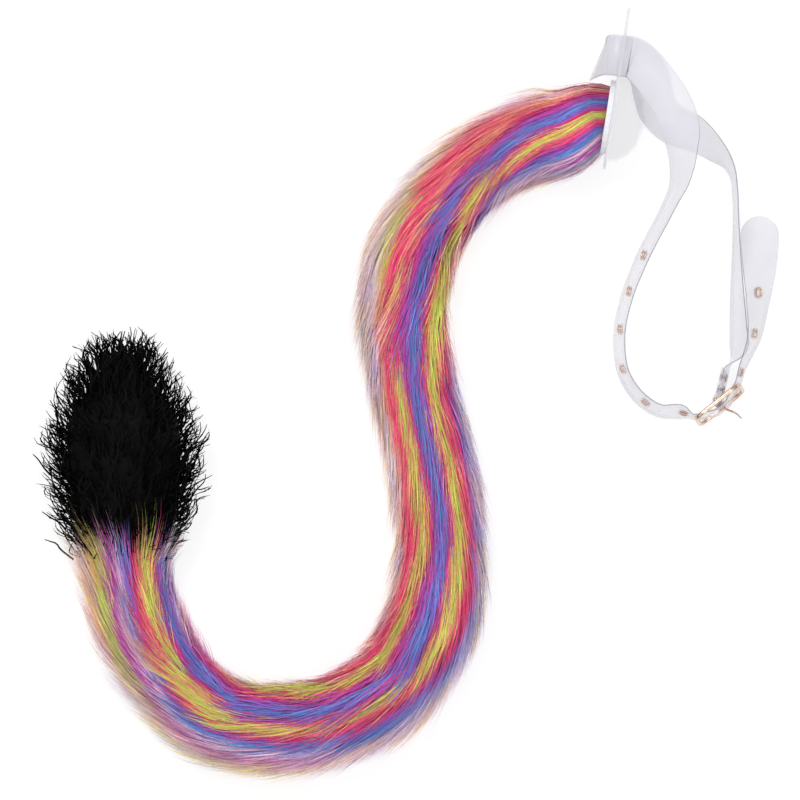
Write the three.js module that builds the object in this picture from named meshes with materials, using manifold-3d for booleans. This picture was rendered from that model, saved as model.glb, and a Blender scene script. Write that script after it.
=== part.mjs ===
import * as THREE from 'three';
import { mergeVertices } from 'three/addons/utils/BufferGeometryUtils.js';
import Module from 'manifold-3d';

const wasm = await Module();
wasm.setup();

// A long furry costume tail on a clear waist belt, lying on the floor as it would be put down.
// Millimetres. z = 0 is the floor, +X points from the tail to the wearer, +Y up the plate as worn.
// The origin is on the floor, in the middle of the plate's lower edge.

const gap = 0.3; // left between pieces that touch

// Clear plate, standing on one long edge
const plateLength = 130;
const plateWidth = 84;
const plateThick = 2;
const plateCorner = 14;
const plateTurn = 8.8; // degrees from +Y towards +X
const slotInset = 8; // from a long edge to the middle of a belt slot
const slotUp = 26; // from the plate's middle to the belt's middle
const slotClear = 1; // round the strap in its slot

// White disc that closes the tail, and the clear dome on the wearer's side
const discRadius = 30;
const discThick = 4;
const rootDown = 24; // from the plate's middle to the tail's middle
const padLength = 71;
const padWidth = 60;
const padDepth = 26;
const padWall = 1.6;
const padSides = 16;

// Clear strap
const strapWidth = 32;
const strapThick = 1.6;
const bulgeDepth = 18; // how far the strap stands off the plate on the tail's side
const bulgeSag = 8;
const bulgeTilt = 15; // degrees
const beltReach = 82.4; // along X from the plate to the buckle's bar
const beltDrop = 253; // along Y
const tongueEnd = 62; // strap left beyond the last eyelet

// Eyelets
const eyeletSpacing = 33;
const eyeletsBefore = 6; // between the plate and the buckle
const eyeletsAfter = 3; // on the free end
const eyeletRadius = 4.5;
const eyeletBore = 2.7;
const eyeletWall = 0.6;

// Buckle, a centre-bar frame of bent wire
const buckleLength = 47;
const buckleWire = 3.6;
const buckleClear = 2.4; // beside the strap inside the frame
const buckleCorner = 8;
const buckleHeading = 38.5; // degrees from +X, the way the strap runs through it
const buckleLean = 80; // degrees, its tilt from lying flat
const barWire = 3;
const barSet = 2; // bar behind the frame's middle plane
const prongWire = 1.8;
const prongEye = 3; // width of the prong's eye on the bar
const foldTurn = -39; // degrees, the way the fold leaves the bar
const foldReach = 27; // length of the fold's short end
const rivetFirst = 11; // from the bar
const rivetSpacing = 10;
const rivetHead = 2.6;
const rivetShank = 1.2;
const rivetCap = 0.9;

// Furry tail
const tailReach = 392; // along X from the plate to the tip
const tailDrop = 512; // along Y to the lowest bend
const tailHalf = 39; // half the width over the fur at the widest place
const tailFlat = 0.84; // height over width
const tailPress = 0.93; // middle's height over half the height, less than 1 where it is pressed flat
const furCore = 0.76; // dense fur over the whole width
const furShift = 0.1; // dense fur set over to the inner side of a bend, over the half width
const furSpacing = 76; // between rows of locks
const furLocks = 6; // locks in a row
const furLock = 110; // length of one lock

// Black feathery tip
const tipTurn = 91.3; // degrees from +X, the way it points
const tipLength = 190;
const tipHalf = 67;
const tipFlat = 0.72;
const tipCore = 0.74;
const tipRows = 5;
const tipLocks = 8;
const tipLock = 62;

const rad = THREE.MathUtils.degToRad;
const { lerp, clamp, smoothstep } = THREE.MathUtils;
const vec = (x, y, z) => new THREE.Vector3(x, y, z);
const up = vec(0, 0, 1);

// Plain mesh tools

// Closed surface through rings of points. A ring of one point is a pole.
function loft(rings, { looped = false } = {}) {
  const points = rings.flat();
  const starts = [];
  rings.reduce((at, ring) => (starts.push(at), at + ring.length), 0);
  const faces = [];
  const count = looped ? rings.length : rings.length - 1;
  for (let i = 0; i < count; i++) {
    const j = (i + 1) % rings.length;
    const [a, b] = [rings[i].length, rings[j].length];
    const n = Math.max(a, b);
    for (let k = 0; k < n; k++) {
      const next = (k + 1) % n;
      const [p, q] = [starts[i] + (k % a), starts[i] + (next % a)];
      const [r, s] = [starts[j] + (k % b), starts[j] + (next % b)];
      if (a > 1) faces.push(p, q, r);
      if (b > 1) faces.push(q, s, r);
    }
  }
  const close = (ring, start, flip) => {
    for (let k = 1; k < ring.length - 1; k++) {
      faces.push(...(flip ? [start, start + k + 1, start + k] : [start, start + k, start + k + 1]));
    }
  };
  if (!looped) {
    close(rings[0], starts[0], true);
    close(rings.at(-1), starts.at(-1), false);
  }
  // Six times the volume is negative where the rings run the other way round
  let volume = 0;
  for (let i = 0; i < faces.length; i += 3) {
    const [a, b, c] = [points[faces[i]], points[faces[i + 1]], points[faces[i + 2]]];
    volume += a.dot(b.clone().cross(c));
  }
  if (volume < 0) faces.reverse();
  const geometry = new THREE.BufferGeometry();
  geometry.setAttribute('position', new THREE.Float32BufferAttribute(points.flatMap((p) => p.toArray()), 3));
  geometry.setIndex(faces);
  return geometry;
}

function solidOf(source) {
  let geometry = source.clone();
  geometry.deleteAttribute('normal');
  geometry.deleteAttribute('uv');
  geometry = mergeVertices(geometry, 1e-4);
  const mesh = new wasm.Mesh({
    numProp: 3,
    vertProperties: new Float32Array(geometry.attributes.position.array),
    triVerts: new Uint32Array(geometry.index.array),
  });
  return new wasm.Manifold(mesh);
}

function geometryOf(solid) {
  const mesh = solid.getMesh();
  const geometry = new THREE.BufferGeometry();
  geometry.setAttribute('position', new THREE.BufferAttribute(new Float32Array(mesh.vertProperties), 3));
  geometry.setIndex(new THREE.BufferAttribute(new Uint32Array(mesh.triVerts), 1));
  return geometry;
}

const joined = (solids) => solids.reduce((whole, solid) => whole.add(solid));

// Points of a circle round a centre, in the plane of two directions
function circle(centre, right, forward, radius, sides) {
  return Array.from({ length: sides }, (_, k) => {
    const angle = (2 * Math.PI * k) / sides;
    return centre
      .clone()
      .addScaledVector(right, radius * Math.cos(angle))
      .addScaledVector(forward, radius * Math.sin(angle));
  });
}

// Solid of revolution round an axis: profile rows are { out, along }
function turned(centre, axis, profile, sides) {
  const geometry = new THREE.LatheGeometry(profile.map((p) => new THREE.Vector2(p.out, p.along)), sides);
  geometry.applyQuaternion(new THREE.Quaternion().setFromUnitVectors(vec(0, 1, 0), axis));
  return geometry.translate(...centre);
}

function drill(centre, axis, radius, length, sides) {
  const profile = [
    { out: 0, along: -length / 2 },
    { out: radius, along: -length / 2 },
    { out: radius, along: length / 2 },
    { out: 0, along: length / 2 },
  ];
  return solidOf(turned(centre, axis, profile, sides));
}

function wireAlong(points, radius, sides, steps) {
  const section = new THREE.Shape(circle(vec(0, 0, 0), vec(1, 0, 0), vec(0, 1, 0), radius, sides));
  const extrudePath = new THREE.CatmullRomCurve3(points);
  return new THREE.ExtrudeGeometry(section, { steps, extrudePath, curveSegments: 1 });
}

// Everything under the floor's plane
const floorSide = 4 * (tailReach + tailDrop);
const floorBlock = new THREE.BoxGeometry(floorSide, floorSide, tipHalf * 2).translate(0, 0, -tipHalf);
const underFloor = solidOf(floorBlock);

const group = new THREE.Group();

function addPiece(name, geometry, look, parent = group) {
  const mesh = new THREE.Mesh(geometry, new THREE.MeshStandardMaterial(look));
  mesh.name = name;
  parent.add(mesh);
  return mesh;
}

const clearVinyl = { color: 0xe8e7ed, roughness: 0.18, metalness: 0, transparent: true, opacity: 0.4 };
const whiteFelt = { color: 0xf3f3f5, roughness: 0.8, metalness: 0 };
const roseGold = { color: 0xd9a382, roughness: 0.25, metalness: 1 };
const stripedFur = { color: 0xb84f86, roughness: 0.9, metalness: 0 };
const blackFeather = { color: 0x0b0b0d, roughness: 0.85, metalness: 0 };

// Plate, disc and dome, in a group whose X axis is the plate's normal on the wearer's side

const plateGroup = new THREE.Group();
plateGroup.rotation.z = -rad(plateTurn);
plateGroup.updateMatrixWorld(true);
group.add(plateGroup);
const onPlate = (x, y, z) => plateGroup.localToWorld(vec(x, y, z));
const plateWay = (x, y, z) => onPlate(x, y, z).sub(onPlate(0, 0, 0));
const plateMid = plateWidth / 2;

function roundedRectangle(path, left, bottom, right, top, corner) {
  path.moveTo(left + corner, bottom);
  path.lineTo(right - corner, bottom);
  path.absarc(right - corner, bottom + corner, corner, -Math.PI / 2, 0);
  path.lineTo(right, top - corner);
  path.absarc(right - corner, top - corner, corner, 0, Math.PI / 2);
  path.lineTo(left + corner, top);
  path.absarc(left + corner, top - corner, corner, Math.PI / 2, Math.PI);
  path.lineTo(left, bottom + corner);
  path.absarc(left + corner, bottom + corner, corner, Math.PI, 1.5 * Math.PI);
  return path;
}

function plateGeometry() {
  const halfLength = plateLength / 2;
  const outline = roundedRectangle(new THREE.Shape(), -halfLength, 0, halfLength, plateWidth, plateCorner);
  const slotHalf = strapWidth / 2 + slotClear;
  const slotTall = strapThick / 2 + slotClear;
  for (const height of [slotInset, plateWidth - slotInset]) {
    const [bottom, top] = [height - slotTall, height + slotTall];
    const corner = slotTall * 0.9;
    outline.holes.push(
      roundedRectangle(new THREE.Path(), slotUp - slotHalf, bottom, slotUp + slotHalf, top, corner),
    );
  }
  const geometry = new THREE.ExtrudeGeometry(outline, {
    depth: plateThick,
    bevelEnabled: false,
    curveSegments: 4,
  });
  // The outline's x runs along the plate and its y up from the floor
  geometry.translate(0, 0, -plateThick / 2);
  geometry.applyMatrix4(new THREE.Matrix4().makeBasis(vec(0, 1, 0), up, vec(1, 0, 0)));
  return geometry;
}

function discGeometry() {
  const geometry = new THREE.CylinderGeometry(discRadius, discRadius, discThick, 26);
  geometry.rotateZ(Math.PI / 2);
  return geometry.translate(-plateThick / 2 - gap - discThick / 2, -rootDown, plateMid);
}

// Thin dome, open towards the plate
function padGeometry() {
  const rim = plateThick / 2 + gap;
  const surface = (shrink) => [
    ...[0, 0.3, 0.6, 0.85].map((rise) => {
      const spread = Math.sqrt(1 - rise * rise);
      return Array.from({ length: padSides }, (_, k) => {
        const angle = (2 * Math.PI * k) / padSides;
        return vec(
          rim + rise * (padDepth - shrink),
          -rootDown + Math.cos(angle) * spread * (padLength / 2 - shrink),
          plateMid + Math.sin(angle) * spread * (padWidth / 2 - shrink),
        );
      });
    }),
    [vec(rim + padDepth - shrink, -rootDown, plateMid)],
  ];
  return loft([...surface(padWall).reverse(), ...surface(0)]);
}

addPiece('back_plate', plateGeometry(), clearVinyl, plateGroup);
addPiece('base_disc', discGeometry(), whiteFelt, plateGroup);
addPiece('back_pad', padGeometry(), clearVinyl, plateGroup);

// Buckle's own directions: along the strap, across it, and out from the wearer

const heading = rad(buckleHeading);
const lean = rad(buckleLean);
const alongBuckle = vec(Math.cos(heading), Math.sin(heading), 0);
const acrossBuckle = vec(-Math.sin(heading), Math.cos(heading), Math.tan(lean)).normalize();
const outOfBuckle = alongBuckle.clone().cross(acrossBuckle);
const frameHalf = strapWidth / 2 + buckleClear + buckleWire / 2;
const frameLong = buckleLength / 2 - buckleWire / 2;
const buckleMiddle = vec(beltReach, -beltDrop, frameHalf * Math.sin(lean) + buckleWire / 2);

const atBuckle = (along, out, across = 0) =>
  buckleMiddle
    .clone()
    .addScaledVector(alongBuckle, along)
    .addScaledVector(outOfBuckle, out)
    .addScaledVector(acrossBuckle, across);

// Belt: one strap as a list of stations, each with its middle and the way from its lower to its upper edge

const foldRadius = barWire / 2 + gap + strapThick / 2;
const layerHalf = (strapThick + gap) / 2;
const eyeletHalf = strapThick / 2 + gap + eyeletWall;
const overBar = -barSet + barWire / 2 + gap + strapThick + gap + eyeletHalf;
const underEnd = -(buckleWire / 2 + gap + strapThick);
const nearSlot = plateWidth - slotInset;

// Strap between the plate and the buckle. x and y are shares of beltReach and beltDrop, turn and lean
// give the way to the upper edge in degrees, and low is the lower edge's height as a share of the slot's.
const farStrap = [
  { x: 1.183, y: 0.827, turn: 4, lean: 66, low: 0.04 },
  { x: 1.183, y: 0.745, turn: 4, lean: 67, low: 0.02 },
  { x: 1.173, y: 0.637, turn: 0, lean: 73, low: 0.004 },
  { x: 1.168, y: 0.511, turn: 0, lean: 80, low: 0.004 },
  { x: 1.163, y: 0.403, turn: 14, lean: 84, low: 0.004 },
  { x: 1.156, y: 0.334, turn: 52, lean: 81, low: 0.004 },
  { x: 1.134, y: 0.274, turn: 74, lean: 75, low: 0.004 },
  { x: 1.066, y: 0.228, turn: 78, lean: 66, low: 0.004 },
  { x: 0.96, y: 0.193, turn: 77, lean: 51, low: 0.004 },
  { x: 0.842, y: 0.161, turn: 77, lean: 36, low: 0.004 },
  { x: 0.711, y: 0.134, turn: 74, lean: 21, low: 0.004 },
  { x: 0.552, y: 0.114, turn: 66, lean: 4, low: 0.004 },
  { x: 0.413, y: 0.069, turn: 46, lean: 0, low: 0.004 },
  { x: 0.358, y: 0.014, turn: 18, lean: 0, low: 0.01 },
  { x: 0.324, y: -0.037, turn: 29, lean: 0, low: 0.03 },
  { x: 0.254, y: -0.073, turn: 56, lean: 0, low: 0.07 },
];

const nearStrap = [
  { x: 0.262, y: -0.069, turn: 54, lean: 0, low: 0.99 },
  { x: 0.41, y: -0.01, turn: 34, lean: 3, low: 0.97 },
  { x: 0.522, y: 0.044, turn: 29, lean: 6, low: 0.93 },
  { x: 0.592, y: 0.099, turn: 28, lean: 13, low: 0.88 },
  { x: 0.622, y: 0.15, turn: 25, lean: 25, low: 0.82 },
  { x: 0.629, y: 0.198, turn: 18, lean: 42, low: 0.76 },
  { x: 0.623, y: 0.249, turn: 9, lean: 54, low: 0.7 },
  { x: 0.592, y: 0.303, turn: 6, lean: 63, low: 0.645 },
  { x: 0.531, y: 0.353, turn: 2, lean: 70, low: 0.6 },
  { x: 0.451, y: 0.407, turn: -6, lean: 72, low: 0.545 },
  { x: 0.338, y: 0.477, turn: -12, lean: 73, low: 0.47 },
  { x: 0.229, y: 0.55, turn: -4, lean: 73, low: 0.38 },
  { x: 0.108, y: 0.651, turn: 8, lean: 74, low: 0.25 },
  { x: 0.031, y: 0.768, turn: 12, lean: 75, low: 0.12 },
  { x: 0.051, y: 0.878, turn: 20, lean: 75, low: 0.035 },
  { x: 0.126, y: 0.937, turn: 36, lean: 74, low: 0.012 },
  { x: 0.268, y: 0.991, turn: 62, lean: 72, low: 0.025 },
  { x: 0.432, y: 1.02, turn: 84, lean: 72, low: 0.045 },
  { x: 0.643, y: 1.023, turn: 98, lean: 70, low: 0.065 },
];

// Free end beyond the buckle, which turns its outer face up
const freeEnd = [
  { x: 1.222, y: 0.884, turn: 158, lean: 80, low: 0.08 },
  { x: 1.337, y: 0.784, turn: 170, lean: 70, low: 0.09 },
  { x: 1.372, y: 0.669, turn: 178, lean: 54, low: 0.09 },
  { x: 1.39, y: 0.549, turn: 180, lean: 30, low: 0.09 },
  { x: 1.395, y: 0.463, turn: 180, lean: 16, low: 0.09 },
  { x: 1.4, y: 0.365, turn: 181, lean: 14, low: 0.09 },
];

function onRoute(row) {
  const [turn, tilt] = [rad(row.turn), rad(row.lean)];
  const width = vec(Math.cos(turn) * Math.cos(tilt), Math.sin(turn) * Math.cos(tilt), Math.sin(tilt));
  const resting = (strapWidth * Math.sin(tilt) + strapThick * Math.cos(tilt)) / 2;
  return { middle: vec(row.x * beltReach, -row.y * beltDrop, row.low * nearSlot + resting), width };
}

// Strap folded back round the bar: its short end on the wearer's side, then the long one
function foldStations() {
  const turn = rad(foldTurn);
  const place = (along, aside) => ({
    middle: atBuckle(
      along * Math.cos(turn) - aside * Math.sin(turn),
      along * Math.sin(turn) + aside * Math.cos(turn) - barSet,
    ),
    width: acrossBuckle.clone(),
  });
  const apart = [foldReach, rivetFirst + rivetSpacing, rivetFirst, rivetFirst - rivetHead - 1];
  const roundBar = [];
  for (let angle = -90; angle >= -270; angle -= 30) {
    roundBar.push(place(foldRadius * Math.cos(rad(angle)), foldRadius * Math.sin(rad(angle))));
  }
  return [
    ...apart.map((along) => place(along, -layerHalf)),
    ...roundBar,
    ...apart.map((along) => place(along, layerHalf)).reverse(),
  ];
}

// Out through the far slot, round on the tail's side, and back through the near slot
function bulgeStations() {
  const straight = [4.5, 1, -1, -2.2].map((share) => share * (plateThick / 2 + slotClear));
  const middle = (slotInset + nearSlot) / 2;
  const through = (height) =>
    straight.map((x) => ({ middle: onPlate(x, slotUp, height), width: plateWay(0, 1, 0) }));
  const round = [-60, -30, 0, 30, 60].map((angle) => {
    const swell = Math.cos(rad(angle));
    const tilt = rad(bulgeTilt) * swell ** 2;
    return {
      middle: onPlate(
        lerp(straight.at(-1), -bulgeDepth, swell),
        slotUp - bulgeSag * swell ** 3,
        middle + ((nearSlot - slotInset) / 2) * Math.sin(rad(angle)),
      ),
      width: plateWay(Math.sin(tilt), Math.cos(tilt), 0),
    };
  });
  return [...through(slotInset), ...round, ...through(nearSlot).reverse()];
}

function tongueStations() {
  const flat = eyeletRadius + 1;
  return [
    { along: -frameLong, out: underEnd - 1.2 },
    { along: -frameLong * 0.62, out: (underEnd + overBar) / 2 },
    { along: -flat, out: overBar },
    { along: 0, out: overBar },
    { along: flat, out: overBar },
    { along: frameLong * 0.58, out: (underEnd + overBar) / 2 },
    { along: frameLong, out: underEnd - 0.4 },
  ].map(({ along, out }) => ({ middle: atBuckle(along, out), width: acrossBuckle.clone() }));
}

const folded = foldStations();
const tongue = tongueStations();
const beforeTongue = [...folded, ...farStrap.map(onRoute), ...bulgeStations(), ...nearStrap.map(onRoute)];
const stations = [...beforeTongue, ...tongue, ...freeEnd.map(onRoute)];
const barStation = beforeTongue.length + (tongue.length - 1) / 2;

const beltMiddle = new THREE.CatmullRomCurve3(stations.map((s) => s.middle), false, 'centripetal');
const beltWidth = new THREE.CatmullRomCurve3(stations.map((s) => s.width), false, 'catmullrom', 0.5);

// Frame of the strap at a share of its stations: middle, along, width and outward directions
function beltFrame(share) {
  const middle = beltMiddle.getPoint(share);
  const along = beltMiddle.getTangent(share);
  const width = beltWidth.getPoint(share);
  width.addScaledVector(along, -width.dot(along)).normalize();
  const out = along.clone().cross(width);
  // The strap's lowest corner stays on or over the floor
  const lowest = middle.z - (Math.abs(width.z) * strapWidth + Math.abs(out.z) * strapThick) / 2;
  middle.z += Math.max(0, -lowest);
  return { middle, along, width, out };
}

const finePerStation = 16;
const fineCount = (stations.length - 1) * finePerStation;
const fine = Array.from({ length: fineCount + 1 }, (_, i) => beltFrame(i / fineCount));
fine.forEach((frame, i) => {
  frame.run = i ? fine[i - 1].run + frame.middle.distanceTo(fine[i - 1].middle) : 0;
});
const barRun = fine[barStation * finePerStation].run;
const beltEnd = barRun + eyeletsAfter * eyeletSpacing + tongueEnd;

// Frame of the strap at a length along it, carried on straight past the last station
function beltAt(run) {
  const after = fine.findIndex((frame) => frame.run >= run);
  if (after <= 0) {
    const end = after === 0 ? fine[0] : fine.at(-1);
    return { ...end, run, middle: end.middle.clone().addScaledVector(end.along, run - end.run) };
  }
  const [a, b] = [fine[after - 1], fine[after]];
  const share = (run - a.run) / (b.run - a.run);
  const blend = (key) => a[key].clone().lerp(b[key], share);
  return {
    run,
    middle: blend('middle'),
    along: blend('along').normalize(),
    width: blend('width').normalize(),
    out: blend('out').normalize(),
  };
}

// Eyelets sit on short flat stretches between two sections of the strap
const eyeletSeat = eyeletRadius + 2 * gap;
const eyeletRuns = Array.from(
  { length: eyeletsBefore + 1 + eyeletsAfter },
  (_, k) => barRun + (k - eyeletsBefore) * eyeletSpacing,
);

function seatAt(run) {
  const [from, to] = [beltAt(run - eyeletSeat), beltAt(run + eyeletSeat)];
  const along = to.middle.clone().sub(from.middle).normalize();
  const width = from.width.clone().add(to.width);
  width.addScaledVector(along, -width.dot(along)).normalize();
  const out = along.clone().cross(width);
  return { middle: from.middle.clone().lerp(to.middle, 0.5), along, width, out };
}

function onSeat(eyelet, run) {
  const seat = seatAt(eyelet);
  return { ...seat, middle: seat.middle.clone().addScaledVector(seat.along, run - eyelet) };
}

// Lengths at which the strap needs a section: at the fold, and where it has turned or run far enough
function beltRuns() {
  const [mostTurn, mostRun] = [rad(13), strapWidth * 0.6];
  const roundFrom = beltEnd - strapWidth / 2;
  const runs = folded.map((_, k) => fine[k * finePerStation].run);
  let last = fine[(folded.length - 1) * finePerStation];
  for (const frame of fine) {
    if (frame.run <= last.run) continue;
    if (frame.run >= roundFrom) break;
    const turn = Math.max(last.along.angleTo(frame.along), last.width.angleTo(frame.width));
    if (turn > mostTurn || frame.run - last.run > mostRun) {
      runs.push(frame.run);
      last = frame;
    }
  }
  const roundSteps = 5;
  for (let k = 0; k < roundSteps; k++) {
    runs.push(roundFrom + (strapWidth / 2) * Math.sin((Math.PI / 2) * (k / roundSteps)));
  }
  const seats = eyeletRuns.map((run) => [run - eyeletSeat, run + eyeletSeat]);
  const apart = strapThick / 2;
  const clear = [...runs, beltEnd - strapThick / 8].filter(
    (run) => !seats.some(([from, to]) => run > from - apart && run < to + apart),
  );
  return [...clear, ...seats.flat()].sort((a, b) => a - b);
}

function beltSolid() {
  const rings = beltRuns().map((run) => {
    const seat = eyeletRuns.find((eyelet) => Math.abs(run - eyelet) < eyeletSeat + 0.01);
    const { middle, width, out } = seat === undefined ? beltAt(run) : onSeat(seat, run);
    const past = Math.max(0, run - (beltEnd - strapWidth / 2));
    const half = Math.sqrt((strapWidth / 2) ** 2 - past ** 2);
    const corner = (across, aside) =>
      middle.clone().addScaledVector(width, across * half).addScaledVector(out, (aside * strapThick) / 2);
    return [corner(-1, -1), corner(1, -1), corner(1, 1), corner(-1, 1)];
  });
  return solidOf(loft(rings));
}

// Eyelets, a flanged ring through the strap

const barrel = eyeletBore + eyeletWall;

function eyeletGeometry(run) {
  const { middle, out } = seatAt(run);
  const inside = strapThick / 2 + gap;
  return turned(
    middle,
    out,
    [
      { out: eyeletBore, along: -eyeletHalf },
      { out: eyeletRadius, along: -eyeletHalf },
      { out: eyeletRadius, along: -inside },
      { out: barrel, along: -inside },
      { out: barrel, along: inside },
      { out: eyeletRadius, along: inside },
      { out: eyeletRadius, along: eyeletHalf },
      { out: eyeletBore, along: eyeletHalf },
      { out: eyeletBore, along: -eyeletHalf },
    ],
    10,
  );
}

// Rivets through both layers of the fold

function rivetAt(distance) {
  const turn = rad(foldTurn);
  const middle = atBuckle(distance * Math.cos(turn), distance * Math.sin(turn) - barSet);
  const axis = alongBuckle
    .clone()
    .multiplyScalar(-Math.sin(turn))
    .addScaledVector(outOfBuckle, Math.cos(turn));
  return { middle, axis };
}

const rivetStack = layerHalf + strapThick / 2;
const rivetPlaces = [rivetFirst, rivetFirst + rivetSpacing].map(rivetAt);

function rivetGeometry({ middle, axis }) {
  const face = rivetStack + gap;
  const profile = [
    { out: 0, along: -face - rivetCap },
    { out: rivetHead * 0.6, along: -face - rivetCap },
    { out: rivetHead, along: -face - rivetCap * 0.35 },
    { out: rivetHead, along: -face },
    { out: rivetShank, along: -face },
    { out: rivetShank, along: face },
    { out: rivetHead, along: face },
    { out: rivetHead, along: face + rivetCap * 0.35 },
    { out: rivetHead * 0.6, along: face + rivetCap },
    { out: 0, along: face + rivetCap },
  ];
  return turned(middle, axis, profile, 8);
}

const barAxis = atBuckle(0, -barSet);
const eyeOuter = foldRadius + strapThick / 2 - gap / 2;
const beltCuts = [
  ...eyeletRuns.map((run) => {
    const { middle, out } = seatAt(run);
    return drill(middle, out, barrel + gap, strapThick * 1.8, 9);
  }),
  ...rivetPlaces.map(({ middle, axis }) => drill(middle, axis, rivetShank + gap, rivetStack * 2.6, 10)),
  drill(barAxis, acrossBuckle, eyeOuter + 1.5 * gap, prongEye + 4 * gap, 12),
];
addPiece('belt', geometryOf(beltCuts.reduce((belt, cut) => belt.subtract(cut), beltSolid())), clearVinyl);

eyeletRuns.forEach((run, k) => {
  addPiece(`eyelet_${String(k + 1).padStart(2, '0')}`, eyeletGeometry(run), roseGold);
});
rivetPlaces.forEach((place, k) => addPiece(`rivet_${k + 1}`, rivetGeometry(place), roseGold));

// Buckle frame: a closed ring of wire with the bar across its middle

function frameSolid() {
  const steps = 5;
  const rings = [];
  for (let quarter = 0; quarter < 4; quarter++) {
    const alongSide = quarter === 0 || quarter === 3 ? 1 : -1;
    const acrossSide = quarter < 2 ? 1 : -1;
    const middle = [alongSide * (frameLong - buckleCorner), acrossSide * (frameHalf - buckleCorner)];
    for (let k = 0; k <= steps; k++) {
      const angle = (Math.PI / 2) * (quarter + k / steps);
      const [c, s] = [Math.cos(angle), Math.sin(angle)];
      const centre = atBuckle(middle[0] + buckleCorner * c, 0, middle[1] + buckleCorner * s);
      const away = alongBuckle.clone().multiplyScalar(c).addScaledVector(acrossBuckle, s);
      rings.push(circle(centre, away, outOfBuckle, buckleWire / 2, 7));
    }
  }
  const bar = drill(barAxis, acrossBuckle, barWire / 2, frameHalf * 2, 10);
  return solidOf(loft(rings, { looped: true })).add(bar);
}
addPiece('buckle_frame', geometryOf(frameSolid()), roseGold);

// Prong: an eye on the bar and a wire out through the eyelet
function prongSolid() {
  const inner = barWire / 2 + gap;
  const eye = drill(barAxis, acrossBuckle, eyeOuter, prongEye, 12).subtract(
    drill(barAxis, acrossBuckle, inner, prongEye * 2, 12),
  );
  const start = -barSet + (inner + eyeOuter) / 2;
  const route = [
    { along: 0, out: start },
    { along: 0.6, out: overBar },
    { along: 2.6, out: overBar + 4 },
    { along: 6, out: overBar + 10.5 },
    { along: 7, out: overBar + 17 },
  ].map(({ along, out }) => atBuckle(along, out));
  return eye.add(solidOf(wireAlong(route, prongWire / 2, 7, 8)));
}
addPiece('buckle_prong', geometryOf(prongSolid()), roseGold);

// Tail: sections along its route. x and y are shares of tailReach and tailDrop, half is a share of
// tailHalf, and rise is the middle's height as a share of half the plate's width, 0 where it rests.
const tailSections = [
  { x: 0.11, y: 0.069, half: 0.84, rise: 0.86 },
  { x: 0.188, y: 0.085, half: 0.85, rise: 0 },
  { x: 0.269, y: 0.116, half: 0.85, rise: 0 },
  { x: 0.359, y: 0.186, half: 0.92, rise: 0 },
  { x: 0.417, y: 0.256, half: 0.96, rise: 0 },
  { x: 0.428, y: 0.342, half: 0.96, rise: 0 },
  { x: 0.412, y: 0.461, half: 0.89, rise: 0 },
  { x: 0.374, y: 0.596, half: 0.88, rise: 0 },
  { x: 0.359, y: 0.725, half: 0.93, rise: 0 },
  { x: 0.372, y: 0.815, half: 0.99, rise: 0 },
  { x: 0.402, y: 0.87, half: 1.0, rise: 0 },
  { x: 0.463, y: 0.936, half: 1.0, rise: 0 },
  { x: 0.573, y: 0.983, half: 0.98, rise: 0 },
  { x: 0.685, y: 1.0, half: 0.98, rise: 0 },
  { x: 0.818, y: 0.981, half: 0.96, rise: 0 },
  { x: 0.912, y: 0.916, half: 0.95, rise: 0 },
  { x: 0.971, y: 0.842, half: 0.95, rise: 0 },
  { x: 1.0, y: 0.745, half: 0.96, rise: 0 },
];

const rootFace = -plateThick / 2 - gap - discThick - gap;
const rootHalf = discRadius * 0.95;
const restHeight = (half) => half * furCore * tailFlat * tailPress;

const tailRows = [
  { middle: onPlate(rootFace, -rootDown, plateMid), half: rootHalf },
  { middle: onPlate(rootFace - discRadius / 4, -rootDown, plateMid), half: rootHalf },
  ...tailSections.map((row) => {
    const half = row.half * tailHalf;
    const height = row.rise ? row.rise * plateMid : restHeight(half);
    return { middle: vec(-row.x * tailReach, -row.y * tailDrop, height), half };
  }),
];
const tailMiddle = new THREE.CatmullRomCurve3(tailRows.map((row) => row.middle), false, 'centripetal');
const tailSize = new THREE.CatmullRomCurve3(tailRows.map((row) => vec(row.half, 0, 0)), false, 'centripetal');
tailMiddle.arcLengthDivisions = 600;
const tailLength = tailMiddle.getLength();

// Section of the tail at a length along it, carried on straight past its end. bend runs from -1 to 1.
function tailAt(run) {
  const share = clamp(run / tailLength, 0, 1);
  const step = tailMiddle.getUtoTmapping(share);
  const along = tailMiddle.getTangent(step);
  const side = along.clone().cross(up).normalize();
  const middle = tailMiddle.getPoint(step).addScaledVector(along, run - share * tailLength);
  const near = tailHalf / 2 / tailLength;
  const before = tailMiddle.getTangentAt(Math.max(0, share - near));
  const after = tailMiddle.getTangentAt(Math.min(1, share + near));
  const fullBend = 0.45;
  const bend = clamp(before.cross(after).z / fullBend, -1, 1);
  return { middle, along, side, half: tailSize.getPoint(step).x, bend };
}

function tailPoint(run, angle, share, grow = 0, shift = 0) {
  const { middle, side, half, bend } = tailAt(run);
  const wide = share * half + grow;
  return middle
    .clone()
    .addScaledVector(side, Math.cos(angle) * wide - shift * bend * half)
    .addScaledVector(up, Math.sin(angle) * (share * half * tailFlat + grow));
}

// Dense body of the fur, set over to the inner side of each bend, with a rounded end in the tip
function tailCore(grow) {
  const sides = 12;
  const count = 28;
  const rings = [];
  const ringAt = (run, share) =>
    Array.from({ length: sides }, (_, k) => tailPoint(run, (2 * Math.PI * k) / sides, share, grow, furShift));
  for (let i = 0; i <= count; i++) {
    const run = (i / count) * tailLength;
    const full = Math.exp(-run / discRadius);
    rings.push(ringAt(run, lerp(furCore, 0.98, full)));
  }
  rings.push(ringAt(tailLength + tailHalf * 0.23 + grow, furCore * 0.72));
  rings.push(ringAt(tailLength + tailHalf * 0.38 + grow, furCore * 0.4));
  return solidOf(loft(rings));
}

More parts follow.
